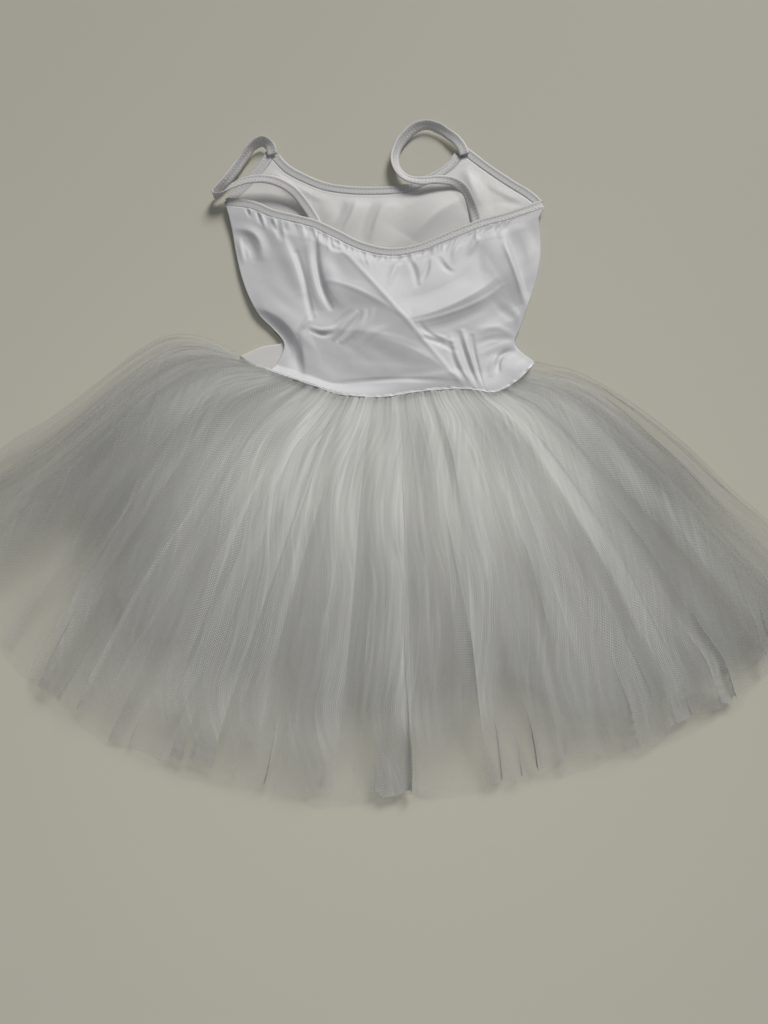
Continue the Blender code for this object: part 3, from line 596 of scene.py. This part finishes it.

# broad lighter and darker streaks of the heaped net, painted light and shade of its folds: three points, half
# width on each hand, change of tone; a darker one covers more as well
paintedNetStreaks = [
    (126, -6, 158, -46, 190, -84, 22, 14, -0.21),
    (168, -52, 200, -90, 230, -130, 10, 12, 0.06),
    (84, -10, 86, -60, 90, -125, 26, 26, 0.11),
    (118, -48, 134, -86, 150, -128, 24, 22, 0.14),
    (5, -85, 2, -120, 0, -165, 18, 18, -0.10),
    (-118, 4, -148, -14, -184, -38, 14, 14, -0.12),
    (-244, -72, -200, -62, -150, -58, 20, 20, 0.08),
    (-250, -100, -222, -128, -204, -168, 20, 18, -0.17),
    (-88, -130, -84, -155, -80, -180, 20, 20, -0.08),
    (150, -150, 170, -160, 206, -158, 16, 16, -0.07),
    (28, -14, 34, -70, 30, -120, 5, 9, 0.08),
]

# the sharp pleats that run out at the hem: x at the hem, where they start, half width, how far folded,
# how dark their edge is painted as shade, how wide the doubled cloth lies beside it and on which hand
hemPleats = [
    (-211, 0.66, 1.2, 0.8, 0.18, 10, 1), (-188, 0.42, 1.6, 1.2, 0.18, 4, 1),
    (-154, 0.84, 1.4, 1.3, 1.0, 3, -1),
    (-130, 0.82, 1.4, 1.2, 0.7, 12, 1), (-117, 0.84, 1.2, 1.0, 0.6, 3, -1), (-73, 0.76, 1.8, 1.6, 1.4, 3, 1),
    (-39, 0.86, 1.2, 1.0, 0.5, 3, -1), (-8, 0.84, 1.4, 1.2, 0.8, 8, 1),
    (12, 0.12, 1.8, 1.6, 0.7, 4, -1), (12.8, 0.76, 1.4, 1.2, 0.3, 21, -1),
    (69, 0.78, 1.8, 1.6, 1.5, 3, 1), (80, 0.82, 1.4, 1.2, 0.9, 3, -1), (89, 0.76, 2.0, 1.8, 1.6, 4, 1),
    (108, 0.88, 1.4, 1.2, 0.9, 3, 1), (131, 0.90, 1.4, 1.4, 1.1, 3, 1), (176, 0.84, 1.4, 1.2, 0.6, 5, -1),
    (186, 0.84, 1.4, 1.2, 0.7, 4, 1), (204, 0.74, 2.4, 1.8, 1.2, 10, 1), (212, 0.72, 2.0, 1.6, 1.4, 4, -1),
    (235, 0.80, 1.6, 1.4, 1.3, 3, 1), (241, 0.82, 1.4, 1.4, 1.2, 3, -1),
]


def insideLine(plan, line):
    # the distance from each plan point to a line that runs from left to right, below nought beyond it
    line = np.array(skirt[line], dtype=float)
    nearest = np.full(plan.shape[:-1], 1e9)
    for start, step in zip(line[:-1], np.diff(line, axis=0)):
        away = plan - start
        share = np.clip((away @ step) / (step @ step), 0, 1)
        nearest = np.minimum(nearest, np.linalg.norm(away - share[..., None] * step, axis=-1))
    return np.where(plan[..., 1] > np.interp(plan[..., 0], line[:, 0], line[:, 1]), nearest, -nearest)


def skirtPlan(across, down):
    # the patch between the waist and the outer hem
    return patch(partial(smoothLine, bodice["waist"]), partial(sideLine, skirt["hem"]),
                 partial(sideLine, skirt["left"]), partial(sideLine, skirt["right"]),
                 across, down, skirt["bulgePower"])


def reaches(hem, short, columns):
    # for each column, the share of the way to the outer hem at which it first comes that short of a hem
    if hem is None:
        return np.full(len(columns), 1 - short / skirt["drop"])
    share = np.linspace(0.2, 1, 240)
    u, v = np.meshgrid(columns, share)
    past = insideLine(skirtPlan(u, v), hem) < short
    past[-1] = True
    crossing = share[np.argmax(past, axis=0)]
    window = np.hanning(9) / np.hanning(9).sum()
    return np.convolve(np.pad(crossing, 4, mode="edge"), window, mode="valid")


def bigFolds(breadth, u):
    # folds of uneven width and depth side by side, each a raised cosine
    rng = np.random.default_rng(breadth["seed"])
    widths = 1 + 0.55 * rng.uniform(-1, 1, breadth["folds"])
    depths = rng.uniform(0.35, 1.0, breadth["folds"])
    edges = np.concatenate(([0], np.cumsum(widths))) / widths.sum()
    inside = np.clip((u - breadth["inset"]) / (1 - 2 * breadth["inset"]), 0, 1)
    index = np.clip(np.searchsorted(edges, inside, side="right") - 1, 0, breadth["folds"] - 1)
    phase = (inside - edges[index]) / (edges[index + 1] - edges[index])
    return depths[index] * (0.5 - 0.5 * np.cos(2 * np.pi * phase))


def pleatTable(breadth, isTop):
    # random pleats, and on the top breadth the sharp ones at the hem, as one named column each
    rng = np.random.default_rng(breadth["seed"] + 100)
    count = breadth["pleats"]
    spread = (np.arange(count) + rng.uniform(0.1, 0.9, count)) / count
    pleats = {
        "place": breadth["inset"] + (1 - 2 * breadth["inset"]) * spread,
        "start": rng.uniform(-0.3, 0.55, count), "end": rng.uniform(0.6, 1.7, count),
        "width": rng.uniform(2.2, 6.0, count),
        "height": rng.uniform(0.3, 1.0, count) * breadth["pleatHeight"],
        "double": rng.uniform(0.2, 1.2, count), "veil": 0.15 + 0.75 * rng.uniform(0, 1, count) ** 1.5,
        "spread": rng.uniform(6.0, 24.0, count), "edge": rng.uniform(0.0, 0.5, count),
        "hand": rng.choice((-1.0, 1.0), count), "sway": rng.uniform(0.002, 0.009, count),
        "drift": rng.uniform(-0.014, 0.014, count), "turn": rng.uniform(0, 2 * np.pi, count),
    }
    if isTop:
        shares = np.linspace(0, 1, 400)
        table = np.array(hemPleats, dtype=float)
        many = len(table)
        extra = {
            "place": np.interp(table[:, 0], sideLine(skirt["hem"], shares)[:, 0], shares),
            "start": table[:, 1], "end": np.full(many, 9.0), "width": table[:, 2],
            "height": np.full(many, 1.0), "double": table[:, 3], "veil": 0.75 + 0.06 * table[:, 5],
            "spread": table[:, 5], "edge": table[:, 4], "hand": table[:, 6],
            "sway": rng.uniform(0.001, 0.004, many), "drift": np.zeros(many),
            "turn": rng.uniform(0, 2 * np.pi, many),
        }
        pleats = {key: np.append(pleats[key], extra[key]) for key in pleats}
    return pleats


def pleatColumns(breadth, pleats):
    # the columns of the breadth's grid, closer together where the pleats are
    fine = np.linspace(breadth["inset"], 1 - breadth["inset"], 6000)
    close = (fine[:, None] - pleats["place"]) * skirt["hemLength"] / (2.5 * pleats["width"])
    crowd = 1 + 2.5 * np.exp(-close * close).sum(axis=1).clip(0, 1.5)
    running = np.concatenate(([0], np.cumsum((crowd[1:] + crowd[:-1]) / 2)))
    return np.interp(np.linspace(0, 1, breadth["columns"]), running / running[-1], fine)


def pleatShapes(pleats, u, v):
    # what all the pleats do at each point: a bell across each one slides the cloth sideways, so that it
    # doubles, and raises it; beside it the doubled cloth veils, its edge is painted dark as shade, and the
    # hem is notched
    hemLength = skirt["hemLength"]
    slide, pleatHeight, veils, edges, notch = [np.zeros_like(u) for _ in range(5)]
    for number in range(len(pleats["place"])):
        pleat = {key: values[number] for key, values in pleats.items()}
        isSharp = pleat["end"] > 2
        centre = (pleat["place"] + pleat["sway"] * np.sin(5.0 * v + pleat["turn"])
                  + pleat["drift"] * (1 - v) * min(1, 1.2 - pleat["start"]))
        if isSharp:
            centre = pleat["place"] + pleat["sway"] * np.sin(14.0 * (1 - v))
        halfWidth = pleat["width"] / hemLength
        t = (u - centre) / halfWidth
        bell = np.exp(-t * t)
        run = ease(pleat["start"], pleat["start"] + 0.18, v) * (1 - ease(pleat["end"] - 0.3, pleat["end"], v))
        slide -= run * pleat["double"] * halfWidth * t * bell
        pleatHeight += run * pleat["height"] * (bell + 0.5 * t * np.exp(-t * t / 2))
        away = (u - centre) * hemLength * (0.30 + 0.70 * v) * pleat["hand"]
        veils += run * pleat["veil"] * ease(-0.6, 0.6, away) * (1 - ease(0.5, 1.0, away / pleat["spread"]))
        edges += run * pleat["edge"] * np.exp(-((away / 0.9) ** 2))
        notch += run * pleat["edge"] * np.exp(-(((away - 1.5) / 2.5) ** 2)) * isSharp
    return slide, pleatHeight, veils, edges, notch


def netLook(breadth, rng, plan, u, v, reach, bent, packing, normal, veils, edges):
    # the cover is that of as many layers as there is cloth per area of surface, more where it is gathered,
    # doubled or stands on edge; the tone, partly painted light and shade, goes from the darker sides to the
    # lighter middle and darkens from the waist down the pile and near the inner hem, then goes to the
    # margin's tone
    upright = np.abs(normal[..., 2]) / np.maximum(np.linalg.norm(normal, axis=-1), 1e-9)
    broad = smoothNoise(rng, bent, v, 22, 4)
    middling = smoothNoise(rng, bent, v, 64, 5)
    streaks = 0.85 + 0.18 * broad + 0.22 * middling + 0.12 * smoothNoise(rng, bent, v, 190, 7)
    crest = ease(0.0, 0.36, u) * (1 - ease(0.76, 1.0, u))
    inMargin = ease(-5, 14, -insideLine(plan, "middleHem"))
    streaks = np.clip(streaks * (1 - tulleLook["marginCalm"] * inMargin) + veils + edges, 0.2, 6)
    layers = packing * (0.85 + 0.45 * crest) * streaks / np.clip(upright, 0.5, 1)
    if breadth["hem"]:
        layers *= 0.15 + 0.85 * ease(0, breadth["fade"], (reach - v) * skirt["drop"])
    # along the sides the outermost net is alone and sheer, and its turned edge shows as two thin lines of
    # more cover, painted darker as shade
    sideway = (np.minimum(u, 1 - u) - breadth["inset"]) * skirt["hemLength"] * (0.35 + 0.65 * v)
    if breadth["hem"] is None:
        layers *= 0.34 + 0.66 * ease(6, 20, sideway + 2.5 * broad)
    turned = np.exp(-((sideway / 0.8) ** 2)) + 0.7 * np.exp(-(((sideway - 4.5 - 2.0 * middling) / 0.7) ** 2))
    layers *= 1 + 3.0 * turned
    # painted light and shade of the heap's folds: broad lighter and darker streaks of tone, the darker ones
    # also covering more
    paintedStreaks = np.sum(list(foldShapes(plan, paintedNetStreaks)), axis=0)
    layers *= 1 - tulleLook["shadeCover"] * np.minimum(paintedStreaks, 0)
    layers *= 1 + 0.5 * np.exp(-(((reach - v) * skirt["drop"] / 0.9) ** 2))
    # painted light and shade: the tone is lighter on the heap's middle than on its sides, darker down the
    # pile's slope, and darker still near the inner hem, in the pile's shadow
    nearHem = np.exp(-((insideLine(plan, "innerHem") / 30) ** 2))
    tone = tulleLook["side"] + (tulleLook["middle"] - tulleLook["side"]) * crest
    tone = tone * (1 - tulleLook["fall"] * ease(0.25, 0.62, v)) * (1 - tulleLook["hemShade"] * nearHem)
    tone = tone + (tulleLook["margin"] - tone) * inMargin
    # painted light and shade: the tone follows the painted streaks, and the turned edge is painted darker as
    # shade
    tone = tone * (1 + paintedStreaks) * (1 - tulleLook["turnShade"] * np.clip(turned, 0, 1))
    # broad and middling noise vary the tone at random; the doubled cloth of the veils is whiter in the heap
    # and painted darker in the sheer margin, as painted shade
    tone = tone * (1 + 0.07 * broad + 0.06 * middling + (0.05 - 0.20 * inMargin) * np.clip(veils, 0, 1.5))
    # painted shade: the tone is darker along the pleats' edges, most in the sheer margin, where the net
    # stands on edge
    tone = np.clip(tone * (1 - np.clip(edges, 0, 1.6) * (0.12 + 0.33 * inMargin)), 0.10, 0.96)
    cover = 1 - (1 - tulleLook["cover"]) ** layers
    cover = cover + (1 - cover) * np.clip(tulleLook["edgeCover"] * edges * inMargin, 0, 0.80)
    return {"cover": cover, "tone": tone}


def leaningNormals(normal):
    # round threads catch the light from above, so the mesh's own normals lean only partly with the sheet
    facing = -normal / np.linalg.norm(normal, axis=-1, keepdims=True)
    upwards = np.where(facing[..., 2:] < 0, -1, 1) * np.array((0, 0, 1))
    leaning = tulleLook["lean"] * facing + (1 - tulleLook["lean"]) * upwards
    return leaning / np.linalg.norm(leaning, axis=-1, keepdims=True)


def tulleBreadth(level, finish):
    # one gathered breadth: the plan is the skirt's patch up to the breadth's hem; the height is the packed
    # stack, the loft, the big folds, the pleats and the fine gathers at the waist
    breadth = breadths[level]
    isTop = level == len(breadths) - 1
    pleats = pleatTable(breadth, isTop)
    rng = np.random.default_rng(breadth["seed"] + 200)
    columns = pleatColumns(breadth, pleats)
    u, down = np.meshgrid(columns, np.linspace(0, 1, skirt["rows"]) ** 1.15)
    reach = reaches(breadth["hem"], breadth["short"], columns)
    v = down * reach
    slide, pleatHeight, veils, edges, notch = pleatShapes(pleats, u, v)
    if breadth["hem"]:
        slide *= 1 - 0.9 * ease(0.7, 1, down)
    gatherPhase = 2 * np.pi * skirt["gathers"] * u + 3.5 * smoothNoise(rng, u, v, 60, 2)
    gathers = (0.5 + 0.5 * np.cos(gatherPhase)) * (0.8 + 0.8 * smoothNoise(rng, u, v, 90, 3)).clip(0, 2)
    gathers *= (1 - ease(0.015, 0.16, v)) * ease(0.0, 0.015, v + 0.006)
    swing = skirt["swing"] * np.sin(2 * np.pi * (skirt["swings"] * u + level / 10)) * ease(0.5, 1, v)
    ragged = (0.006 * smoothNoise(rng, u, v, 70, 1) - 0.010 * notch) * ease(0.6, 1, v)
    plan = skirtPlan(np.clip(u + slide, 0, 1), v * (1 + (swing + ragged) * (breadth["hem"] is None)))
    plan[0, :, 1] -= 0.2
    fromSide = np.minimum(u, 1 - u)
    # the pile thins out towards the middle skirt's hem
    thinning = ease(skirt["loftFall"], 1, v / reaches("middleHem", 0, columns))
    loft = ease(0, skirt["loftFull"], v) * (1 - (1 - skirt["loftAtHem"]) * thinning)
    loft = loft * (skirt["sideLoft"] + (1 - skirt["sideLoft"]) * ease(0, skirt["sideTaper"], fromSide))
    pitch = skirt["pitch"] * (1 - (1 - skirt["pitchAtHem"]) * thinning)
    pitch = pitch * (skirt["pitchAtWaist"] + (1 - skirt["pitchAtWaist"]) * ease(0, 0.12, v))
    base = level * pitch + breadth["loft"] * loft
    bent = np.clip(u + 0.015 * smoothNoise(rng, u, v, 8, 3), 0, 1)
    folds = breadth["depth"] * bigFolds(breadth, bent) * (0.72 + 0.28 * smoothNoise(rng, u, v, 14, 3))
    pastMiddle = np.maximum(ease(-14, 40, -insideLine(plan, "middleHem")), ease(0.89, 0.99, v))
    if level == 0:
        folds = folds * ease(0.86, 1, v) * ease(0, 0.03, fromSide)
        base = base + 0.3
    elif isTop:
        pastSide = 1 - ease(breadth["inset"], breadths[4]["inset"], fromSide)
        base = base + (skirt["hemRest"] - base) * np.maximum(pastMiddle, pastSide) * ease(0, 0.08, v)
        folds = folds * (0.15 + 0.85 * ease(0, skirt["loftFull"], v))
        folds = folds * (0.35 + 0.65 * ease(0, 0.06, fromSide))
        folds = folds * (1 - 0.65 * pastMiddle)
        base = base + 0.8 * (1 - ease(0.0, 0.05, v))
    else:
        folds = folds * loft
    height = base + folds + pleatHeight + gathers * min(0.6, 0.3 + breadth["pleatHeight"]) + 0.4
    points = np.concatenate((plan, height[..., None]), axis=-1)
    lengths = rowLengths(points)
    cutWidth = breadth["width"] * (skirt["waistCut"] + (1 - skirt["waistCut"]) * down[:, :1])
    normal = np.cross(np.gradient(points, axis=1), np.gradient(points, axis=0))
    look = netLook(breadth, rng, plan, u, v, reach, bent, cutWidth / lengths[:, -1:], normal, veils, edges)
    cut = np.stack(((lengths / lengths[:, -1:] - 0.5) * cutWidth, down * breadth["cut"]), axis=-1)
    piece = meshPiece(breadth["name"], points, gridFaces(*u.shape), finish, cut, look)
    piece.data.normals_split_custom_set_from_vertices(leaningNormals(normal).reshape(-1, 3))
    area = np.linalg.norm(normal, axis=-1).sum() * mm * mm
    print(breadth["name"], "area", round(area, 4), "hem arc", round(lengths[-1, -1], 3))
    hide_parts(breadth["node"])
    return piece


def waistShare(x):
    # the share of the waist line at which it comes to an x
    shares = np.linspace(0, 1, 201)
    return np.interp(x, smoothLine(bodice["waist"], shares)[:, 0], shares)


def waistFrom(first, shares):
    # the part of the waist line that starts at the first share of it
    return smoothLine(bodice["waist"], first + (1 - first) * shares)


def unitGrid(columns, rows):
    return np.meshgrid(np.linspace(0, 1, columns + 1), np.linspace(0, 1, rows + 1))


def foldSum(plan, planes, folds):
    # the heights of all the planes and of all the folds and creases together
    return np.sum(list(foldShapes(plan, planes, True)) + list(foldShapes(plan, folds)), axis=0)


def bodiceBack(finish):
    top = beside(edging["backNeck"], edging["width"] / 2 + edging["seamGap"])
    first = waistShare(bodice["backLeft"][0][1])
    u, v = unitGrid(*bodice["backGrid"])
    plan = patch(partial(waistFrom, first), partial(smoothLine, top), partial(sideLine, bodice["backLeft"]),
                 partial(sideLine, bodice["backRight"]), u, v)
    fromSide = np.minimum(u, 1 - u)
    neck = smoothLine(edging["backNeck"], u[0])[:, 2] + 0.5
    base = bodice["packed"] + bodice["loft"] * ease(0, 0.16, fromSide)
    slope = bodice["waistSlope"] * (0.34 + 0.66 * ease(0.18, 0.50, u))
    rise = (1 - ease(0, slope, v)) * (0.68 + 0.32 * ease(0, 0.10, fromSide))
    base = base + (bodice["waistHeight"] - base) * rise
    base = base + (neck - base) * ease(*bodice["neckSlope"], v)
    quiet = ease(-0.03, 0.12, v) * (1 - ease(*bodice["foldEnd"], v))
    quiet = quiet * ease(-bodice["sideCalm"], bodice["sideCalm"], fromSide)
    folds = foldSum(plan, backPlanes, backFolds + backCreases)
    rng = np.random.default_rng(31)
    gathers = np.zeros_like(u)
    for place in np.concatenate((np.linspace(0.05, 0.36, 24), np.linspace(0.39, 0.90, 36))):
        centre = place + rng.uniform(-0.006, 0.006)
        halfWidth = rng.uniform(0.0022, 0.0060)
        reach = rng.uniform(0.04, 0.10) + 0.12 * rng.uniform(0, 1) ** 4
        lean = rng.uniform(-0.14, 0.14)
        t = (u - centre - lean * (1 - v)) / (halfWidth * (1 + 5 * (1 - v)))
        size = rng.choice((-0.7, 1.0, 1.0)) * rng.uniform(0.3, 1.15)
        gathers += size * np.exp(-t * t) * ease(1 - reach, 1 - 0.25 * reach, v)
    gathers *= ease(0, 0.03, 1 - v + 0.015)
    soft = 0.25 * smoothNoise(rng, u, v, 16, 12) * quiet
    height = base + folds * quiet + gathers + soft
    return jerseyPanel("bodiceBackPanel", plan, np.maximum(height, 1.5), finish, "bodice_back")


def bodiceFront(finish):
    inset = edging["width"] / 2 + edging["seamGap"]
    start = bodice["underarmShare"]
    sides = []
    for side, arm, distance, corner in (("frontLeft", "armLeft", inset, "cornerLeft"),
                                        ("frontRight", "armRight", -inset, "cornerRight")):
        edge = beside(edging[arm], distance)
        edge[-1] = bodice[corner]
        shares = start + (1 - start) * np.linspace(0, 1, len(edge))
        sides.append(np.vstack((bodice[side], np.column_stack((shares, edge)))))
    top = beside(edging["frontNeck"], inset)
    top[0], top[-1] = bodice["cornerLeft"], bodice["cornerRight"]
    u, v = unitGrid(*bodice["frontGrid"])
    plan = patch(partial(smoothLine, bodice["waist"]), partial(smoothLine, top), partial(sideLine, sides[0]),
                 partial(sideLine, sides[1]), u, v)
    fromSide = np.minimum(u, 1 - u)
    clear = ease(0.60, 0.70, v) * (1 - ease(0.90, 0.98, v)) * ease(0, 0.08, fromSide)
    folds = foldSum(plan, frontPlanes, frontFolds + frontCreases)
    rng = np.random.default_rng(32)
    soft = 0.3 * (1 + smoothNoise(rng, u, v, 9, 9)) * clear
    height = np.maximum(folds * clear + soft, 0) + 0.05
    return jerseyPanel("bodiceFrontPanel", plan, height, finish, "bodice_front")


def sectionFrame(path, rolls):
    # along, across and upwards at each station of a path, turned about the path by the rolls
    along = np.gradient(path, axis=0)
    along /= np.linalg.norm(along, axis=1, keepdims=True)
    across = np.cross(along, (0.0, 0.0, 1.0))
    across /= np.linalg.norm(across, axis=1, keepdims=True)
    up = np.cross(across, along)
    turn = np.radians(rolls)[:, None]
    return along, across * np.cos(turn) + up * np.sin(turn), up * np.cos(turn) - across * np.sin(turn)


def bandPiece(name, path, rolls, width, thickness, finish, node=None):
    # a band: at each station a rounded flat section with two stitched channels along its upper side
    corners = 36
    angle = np.linspace(0, 2 * np.pi, corners, endpoint=False)
    side = np.sign(np.cos(angle)) * np.abs(np.cos(angle)) ** 0.55
    rise = np.sign(np.sin(angle)) * np.abs(np.sin(angle)) ** 0.75
    channel = 1 - 0.50 * np.exp(-(((np.abs(side) - 0.40) / 0.10) ** 2)) * (rise > 0)
    edgeDrop = 1 - 0.40 * np.abs(side) ** 4 * (rise > 0)
    rise = rise * channel * edgeDrop
    along, across, up = sectionFrame(path, rolls)
    rng = np.random.default_rng(len(path))
    share = np.linspace(0, 1, len(path))
    wobble = 1 + 0.05 * smoothNoise(rng, share, share * 0, 30, 1)
    points = (path[:, None] + (side * width / 2)[None, :, None] * (across * wobble[:, None])[:, None]
              + (rise * thickness / 2)[None, :, None] * up[:, None])
    lengths = runningLength(path) * mm
    cut = np.stack(np.broadcast_arrays(lengths[:, None], (angle * width / 6 * mm)[None]), axis=-1)
    faces = gridFaces(len(path), corners, True).tolist()
    faces.append(list(range(corners)))
    faces.append(list(range((len(path) - 1) * corners, len(path) * corners))[::-1])
    piece = meshPiece(name, points, faces, finish, cut)
    if node:
        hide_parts(node)


def waistSeam(finish):
    # a narrow roll along the waist line, with puckers of uneven length and height
    rng = np.random.default_rng(41)
    first = waistShare(edging["seamStart"])
    share = np.linspace(0, 1, 520)
    line = smoothLine(bodice["waist"], first + (0.995 - first) * share)
    pucker = smoothNoise(rng, share, share * 0, 70, 1)
    ripple = smoothNoise(rng, share, share * 0, 26, 1)
    ends = 2.0 * (1 - ease(0, 0.05, share)) + 1.2 * ease(0.97, 1, share)
    lift = edging["seamHeight"] + 0.28 * pucker - ends
    path = np.column_stack((line[:, 0], line[:, 1] - 0.35 + 0.35 * ripple, lift))
    bandPiece("waistSeam", path, 8 * ripple, edging["seamWidth"], edging["seamThickness"], finish)


def valuesAt(centres, lengths, values):
    # three columns of values, known at the lengths, read off at the centres
    return np.stack([np.interp(centres, lengths, values[:, column]) for column in range(3)], axis=1)


def stitchRows(name, lines, finish):
    # each stitch is a short six-sided spindle that lies along its line and dips at both ends
    thread, pitch, rings, sides = stitch["thread"], stitch["pitch"], stitch["rings"], stitch["sides"]
    bead = np.linspace(-1, 1, rings)
    angle = np.linspace(0, 2 * np.pi, sides, endpoint=False)
    points, faces, done = [], [], 0
    for path, rolls, side, rise in lines:
        along, across, up = sectionFrame(path, rolls)
        line = path + side * across + rise * up
        lengths = runningLength(line)
        centres = np.arange(pitch, lengths[-1] - pitch, pitch)
        centre, forward, sideways, upward = [valuesAt(centres, lengths, values)[:, None, None]
                                             for values in (line, along, across, up)]
        radius = thread * (1 - 0.75 * bead**2)
        wide = radius[:, None] * np.cos(angle)
        high = radius[:, None] * np.sin(angle) - thread * 0.8 * bead[:, None] ** 4
        ring = (centre + (bead * stitch["length"] / 2)[None, :, None, None] * forward
                + wide[None, :, :, None] * sideways + high[None, :, :, None] * upward)
        points.append(ring.reshape(-1, 3))
        body = gridFaces(rings, sides, True)
        caps = [list(range(sides)), list(range((rings - 1) * sides, rings * sides))[::-1]]
        for number in range(len(centres)):
            first = done + number * rings * sides
            faces += (body + first).tolist()
            faces += [[corner + first for corner in cap] for cap in caps]
        done += len(centres) * rings * sides
    meshPiece(name, np.concatenate(points), faces, finish)


def makeEdging(finish, strapFinish, threadFinish):
    # the four bindings, the two straps, and two rows of stitches along each
    offset, height = stitch["rowOffset"], stitch["rowHeight"]
    lines = []
    for name, key, node, trim, stations in (
            ("bindingBackNeck", "backNeck", "binding_back_neck", 0, 170),
            ("bindingFrontNeck", "frontNeck", "binding_front_neck", edging["neckTrim"], 120),
            ("bindingArmLeft", "armLeft", "binding_arm_left", 0, 50),
            ("bindingArmRight", "armRight", "binding_arm_right", 0, 60)):
        rows = np.array(edging[key], dtype=float)
        length = runningLength(rows[:, :2])[-1]
        path = smoothLine(rows, np.linspace(trim / length, 1 - trim / length, stations))
        path[:, 2] += edging["thickness"] / 2 + 0.05
        level = np.zeros(stations)
        bandPiece(name, path, level, edging["width"], edging["thickness"], finish, node)
        lines += [(path, level, side, edging["thickness"] * height) for side in (-offset, offset)]
    for name, key, node in (("strapLeft", "left", "strap_left"), ("strapRight", "right", "strap_right")):
        line = smoothLine(np.array(straps[key]), np.linspace(0, 1, 170))
        path, rolls = line[:, :3], line[:, 3]
        bandPiece(name, path, rolls, edging["strapWidth"], edging["strapThickness"], strapFinish, node)
        lines += [(path, rolls, side, edging["strapThickness"] * height) for side in (-offset, offset)]
    stitchRows("edgeStitching", lines, threadFinish)


makeStudio()
jersey = jerseyFinish("jerseyWhite", jerseyLook["colour"], jerseyLook["sheen"])
lining = jerseyFinish("jerseyInside", jerseyLook["inside"], jerseyLook["insideSheen"])
# the bindings and straps are one jersey, in a darker painted-shade copy and a lighter painted-light copy
shadedBinding = jerseyFinish("bindingShadedWhite", jerseyLook["binding"], 0.0)
litStrapCloth = jerseyFinish("strapLitWhite", jerseyLook["strap"], 0.0)
thread = Finish("threadWhite", Roughness=0.5)
thread.feed("Base Color", (0.82, 0.82, 0.83, 1))
net = tulleFinish()
front = bodiceFront(lining)
back = bodiceBack(jersey)
print("bodice made")
makeEdging(shadedBinding, litStrapCloth, thread)
waistSeam(thread)
print("edging made")
tulle = [tulleBreadth(level, net) for level in range(len(breadths))]
print("skirt made")

for level, piece in enumerate(tulle):
    wide, long = breadths[level]["width"], breadths[level]["cut"]
    wide * long * (1 + skirt["waistCut"]) / 2
    "floor" if level == 0 else tulle[level - 1]
